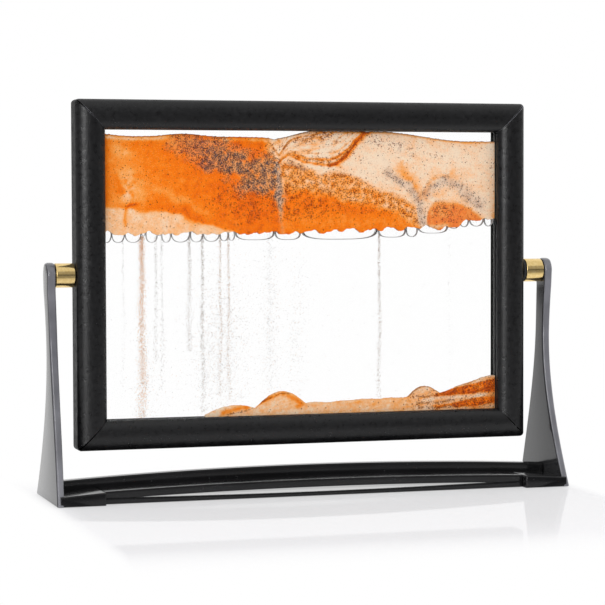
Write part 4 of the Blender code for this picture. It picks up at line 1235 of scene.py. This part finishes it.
def rail_top(x, reach):
    share = x / reach
    return FLOOR_GAP + RAIL_MIDDLE_HEIGHT + (RAIL_END_HEIGHT - RAIL_MIDDLE_HEIGHT) * share * share


def rounded_ring_at(x, points, radius, steps=5):
    """A ring at x of (y, z, rounded) points, with those corners rounded that are marked."""
    ring = []
    for index, (y, z, rounded) in enumerate(points):
        here = Vector((y, z))
        if not rounded:
            ring.append((x, y, z))
            continue
        before = Vector(points[index - 1][:2]) - here
        after = Vector(points[(index + 1) % len(points)][:2]) - here
        start = here + before.normalized() * min(radius, before.length * CORNER_SHARE)
        end = here + after.normalized() * min(radius, after.length * CORNER_SHARE)
        for t in spread(0.0, 1.0, steps + 1):
            ring.append((x, *(start * (1 - t) ** 2 + here * 2 * t * (1 - t) + end * t * t)))
    return ring


def build_crossbar():
    """The hollow arched ledge, the rib on it, and the rails under its edges."""
    rib_reach, half_depth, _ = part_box("crossbar")[1]
    ledge_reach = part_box("right_upright")[0].x - SEAT_GAP

    def ledge_top(x):
        return LEDGE_HEIGHT - arc_drop(x, LEDGE_ARC_RADIUS)

    def ledge_ring(x):
        ledge = ledge_top(x)
        arch = SKIRT_BOTTOM - arc_drop(x, SKIRT_ARC_RADIUS)
        bottom = max(arch, rail_top(x, ledge_reach) - RAIL_IN_SKIRT)
        under = max(ledge - LEDGE_THICKNESS, bottom + LEDGE_LEAST)
        inner = half_depth - SKIRT_THICKNESS
        half = [(half_depth, ledge, True), (half_depth, bottom, True)]
        half += [(inner, bottom, True), (inner, under, False)]
        section = half + [(-y, z, rounded) for y, z, rounded in reversed(half)]
        return rounded_ring_at(x, section, LEDGE_EDGE)

    def rib_ring(x):
        top = RIB_HEIGHT - arc_drop(x, RIB_ARC_RADIUS)
        bottom = max(block_top(x) - RIB_IN_BLOCK, ledge_top(x) - RIB_IN_LEDGE)
        half = RIB_THICKNESS / 2
        section = [(-half, bottom, False), (-half, top, True), (half, top, True), (half, bottom, False)]
        return rounded_ring_at(x, section, RIB_EDGE)

    ledge = skin([ledge_ring(x) for x in spread(-ledge_reach, ledge_reach, LEDGE_STATIONS)])
    mesh = mesh_of("arched_bar", ledge)
    piece = finish_piece("arched_bar", mesh, BASE_BLACK, "stand", replaced=["crossbar"])
    rib = skin([rib_ring(x) for x in spread(-rib_reach, rib_reach, RIB_STATIONS)])
    boolean(piece, rib, "UNION", "join_rib")

    for side, word in ((-1, "front"), (1, "rear")):
        near = side * half_depth
        far = side * (half_depth - RAIL_DEPTH)
        rings = []
        for x in spread(-ledge_reach, ledge_reach, RAIL_STATIONS):
            top = rail_top(x, ledge_reach)
            section = [(near, FLOOR_GAP, True), (near, top, True), (far, top, True), (far, FLOOR_GAP, True)]
            rings.append(rounded_ring_at(x, section, RAIL_EDGE, 3))
        mesh = mesh_of("rail", skin(rings))
        finish_piece(word + "_rail", mesh, BASE_BLACK, "stand", replaced=[word + "_tie_rail"])


def build_spindles():
    """Brass barrels, each with a stud into its upright and a journal into the frame."""
    bevel = quarter(BARREL_BEVEL, BARREL_BEVEL_STEPS)
    for side, word in ((-1, "left"), (1, "right")):
        low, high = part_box(word + "_spindle")
        near, far = sorted((abs(low.x), abs(high.x)))
        radius = (high.z - low.z) / 2
        end = far - STUD_LENGTH
        start = end - BARREL_LENGTH
        profile = [(near, JOURNAL_RADIUS), (start, JOURNAL_RADIUS)]
        profile += [(start + a, radius - b) for a, b in bevel]
        profile += [(end - a, radius - b) for a, b in reversed(bevel)]
        profile += [(end, JOURNAL_RADIUS), (far, JOURNAL_RADIUS)]
        mesh = mesh_of("barrel", turned([(side * along, r) for along, r in profile], ROUND_STEPS))
        finish_piece(word + "_barrel", mesh, BRASS, "stand", (0.0, 0.0, PIVOT_HEIGHT), [word + "_spindle"])


# Carried-over parts


def dress_nodes():
    """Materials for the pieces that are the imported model's own."""
    steel = plain_material("steel", (0.38, 0.38, 0.40), (0.62, 0.62, 0.64), 0.32, 700.0, 1.0, 0.02 * MM)
    nylon = plain_material("nylon", (0.60, 0.59, 0.54), (0.78, 0.77, 0.72), 0.5, 300.0)
    black_nylon = plain_material("black_nylon", (0.012, 0.012, 0.013), (0.026, 0.026, 0.027), 0.5, 300.0)
    aluminium = plain_material("aluminium", (0.50, 0.50, 0.52), (0.68, 0.68, 0.70), 0.4, 500.0, 1.0)
    finishes = {
        "screw": steel, "pad": RUBBER, "block": nylon, "key": aluminium, "pane": GLASS, "gasket": RUBBER,
        "spacer": RUBBER, "washer": RUBBER, "plug": black_nylon, "liquid": LIQUID,
    }
    for name, node in frame["nodes"].items():
        for word, material in finishes.items():
            if word in name:
                node.data.materials.clear()
                node.data.materials.append(material)


# Stage


FLOOR_HALF = 6.0
FLOOR_CELLS = 8
# The floor glows evenly white in front, behind and beside the stand, as (start, end, first, last)
GLOW_BEHIND = (-0.01, 0.10, 0.45, 1.0)
GLOW_BEFORE = (-0.25, -0.12, 1.0, 0.0)
GLOW_ASIDE = (0.128, 0.146)
# How much the floor mirrors near the stand, and how sharply
FLOOR_SHINE = 0.34
FLOOR_SHINE_ROUGHNESS = 0.035
# The glow as seen in reflections, dimmer in front of the object
FRONT_GLOW = (-0.35, -0.05, 0.30, 1.0)
# Studio light in reflections, from behind, off the left, from low and high, and a card front left
BACK_LIGHT = (-0.05, 0.30, 0.10, 1.0)
SIDE_SHARE = (-0.40, -0.12, 0.10, 1.0)
LOW_LIGHT = (0.02, 0.30, 0.0, 0.40)
HIGH_LIGHT = (0.40, 0.75, 0.0, 0.85)
CARD_LEFT = (-0.85, -0.55, 0.0, 1.0)
CARD_RIGHT = (-0.50, -0.24, 1.0, 0.0)
CARD_TOP = (0.60, 0.75, 5.0, 0.0)
# How bright the world is as a light, past what the camera and reflections see
EVEN_FILL = 0.93
# Lamps: (name, place, aim, width, height, watts)
LAMPS = (
    ("tall_softbox", (-0.95, -1.75, 0.55), (-0.02, 0.0, 0.12), 0.55, 1.10, 7.0),
    ("side_softbox", (1.7, -0.7, 0.8), (0.0, 0.0, 0.1), 0.8, 0.8, 2.0),
)


def build_floor():
    """A white table that mirrors the stand a little and glows evenly away from it."""
    shape = bmesh.new()
    bmesh.ops.create_grid(shape, x_segments=FLOOR_CELLS, y_segments=FLOOR_CELLS, size=FLOOR_HALF)
    mesh = mesh_of("floor", shape)
    add_object("floor", mesh)
    g = Graph("floor")
    # The floor's slight blue is a painted tint for the stand's reflection in it near the stand
    g.set(Base_Color=(0.945, 0.94, 0.975), Roughness=1.0, Specular_IOR_Level=0.0)
    place = g.split(g.coordinates("Object"))
    behind = g.soft(place["Y"], *GLOW_BEHIND)
    before = g.soft(place["Y"], *GLOW_BEFORE)
    aside = g.soft(g.calc("ABSOLUTE", place["X"], 0.0), *GLOW_ASIDE)
    near = g.times(g.less(1.0, g.most(before, aside)), FLOOR_SHINE)
    gloss = g.put(g.nodes.new("ShaderNodeBsdfGlossy"), {"Roughness": FLOOR_SHINE_ROUGHNESS})
    shine = g.nodes.new("ShaderNodeMixShader")
    g.put(shine, {0: near, 1: g.shader.outputs["BSDF"], 2: gloss.outputs["BSDF"]})
    path = g.nodes.new("ShaderNodeLightPath").outputs
    direct = g.most(path["Is Camera Ray"], path["Is Transmission Ray"])
    seen = g.most(direct, path["Is Glossy Ray"])
    light = g.nodes.new("ShaderNodeEmission")
    g.put(light, {"Strength": g.most(direct, g.soft(place["Y"], *FRONT_GLOW))})
    share = g.times(g.most(g.most(behind, before), aside), seen)
    mixed = g.nodes.new("ShaderNodeMixShader")
    g.put(mixed, {0: share, 1: shine.outputs["Shader"], 2: light.outputs["Emission"]})
    g.put(g.output, {"Surface": mixed.outputs["Shader"]})
    mesh.materials.append(g.material)


def build_world():
    """White behind the object, a dimmer studio in front of it, and an even fill."""
    world = bpy.data.worlds.new("studio")
    bpy.context.scene.world = world
    world.use_nodes = True
    g = Nodes(world.node_tree)
    way = g.split(g.coordinates("Generated"))
    back = g.times(g.soft(way["Y"], *BACK_LIGHT), g.soft(way["X"], *SIDE_SHARE))
    above = g.most(g.soft(way["Z"], *LOW_LIGHT), g.soft(way["Z"], *HIGH_LIGHT))
    turn = g.calc("ARCTAN2", way["X"], g.times(way["Y"], -1.0))
    card = g.times(g.soft(turn, *CARD_LEFT), g.soft(turn, *CARD_RIGHT))
    card = g.times(card, g.soft(way["Z"], *CARD_TOP))
    studio = g.most(back, g.most(above, card))
    path = g.nodes.new("ShaderNodeLightPath").outputs
    seen = g.most(path["Is Camera Ray"], path["Is Transmission Ray"])
    glossy = path["Is Glossy Ray"]
    level = g.plus(g.times(studio, glossy), g.times(g.less(1.0, glossy), EVEN_FILL))
    g.put(g.nodes["Background"], {"Strength": g.most(level, seen), "Color": (1.0, 1.0, 1.0)})


def build_lamps():
    for name, place, aim, width, height, watts in LAMPS:
        data = bpy.data.lights.new(name, "AREA")
        data.shape = "RECTANGLE"
        data.size = width
        data.size_y = height
        data.energy = watts
        lamp = add_object(name, data)
        lamp.location = place
        lamp.rotation_mode = "QUATERNION"
        lamp.rotation_quaternion = (Vector(aim) - Vector(place)).to_track_quat("-Z", "Y")


def build_camera():
    data = bpy.data.cameras.new("camera")
    data.sensor_width = SENSOR_WIDTH
    data.lens = FOCAL_PIXELS / IMAGE_SIZE * SENSOR_WIDTH
    data.clip_start, data.clip_end = CAMERA_CLIP
    camera = add_object("camera", data)
    aim = Matrix.Rotation(-CAMERA_YAW, 4, "Z") @ Matrix.Rotation(math.pi / 2 - CAMERA_PITCH, 4, "X")
    roll = Matrix.Rotation(CAMERA_ROLL, 4, "Z")
    camera.matrix_world = Matrix.Translation(CAMERA_PLACE) @ aim @ roll
    bpy.context.scene.camera = camera


build_camera()
build_frame()
build_sand()
build_liquid()
build_bubbles(
    clear_material("bubble_film", (0.97, 0.98, 0.98), 0.02, 0.10),
    # Grey rim: painted shade for the dark outline of each bubble's curved wall
    plain_material("bubble_rim", (0.30, 0.28, 0.27), (0.50, 0.48, 0.47), 0.3, 900.0),
)
build_grains(grain_material())
build_uprights()
build_crossbar()
build_spindles()
dress_nodes()
build_floor()
build_world()
build_lamps()
bpy.context.scene.view_settings.view_transform = "Standard"
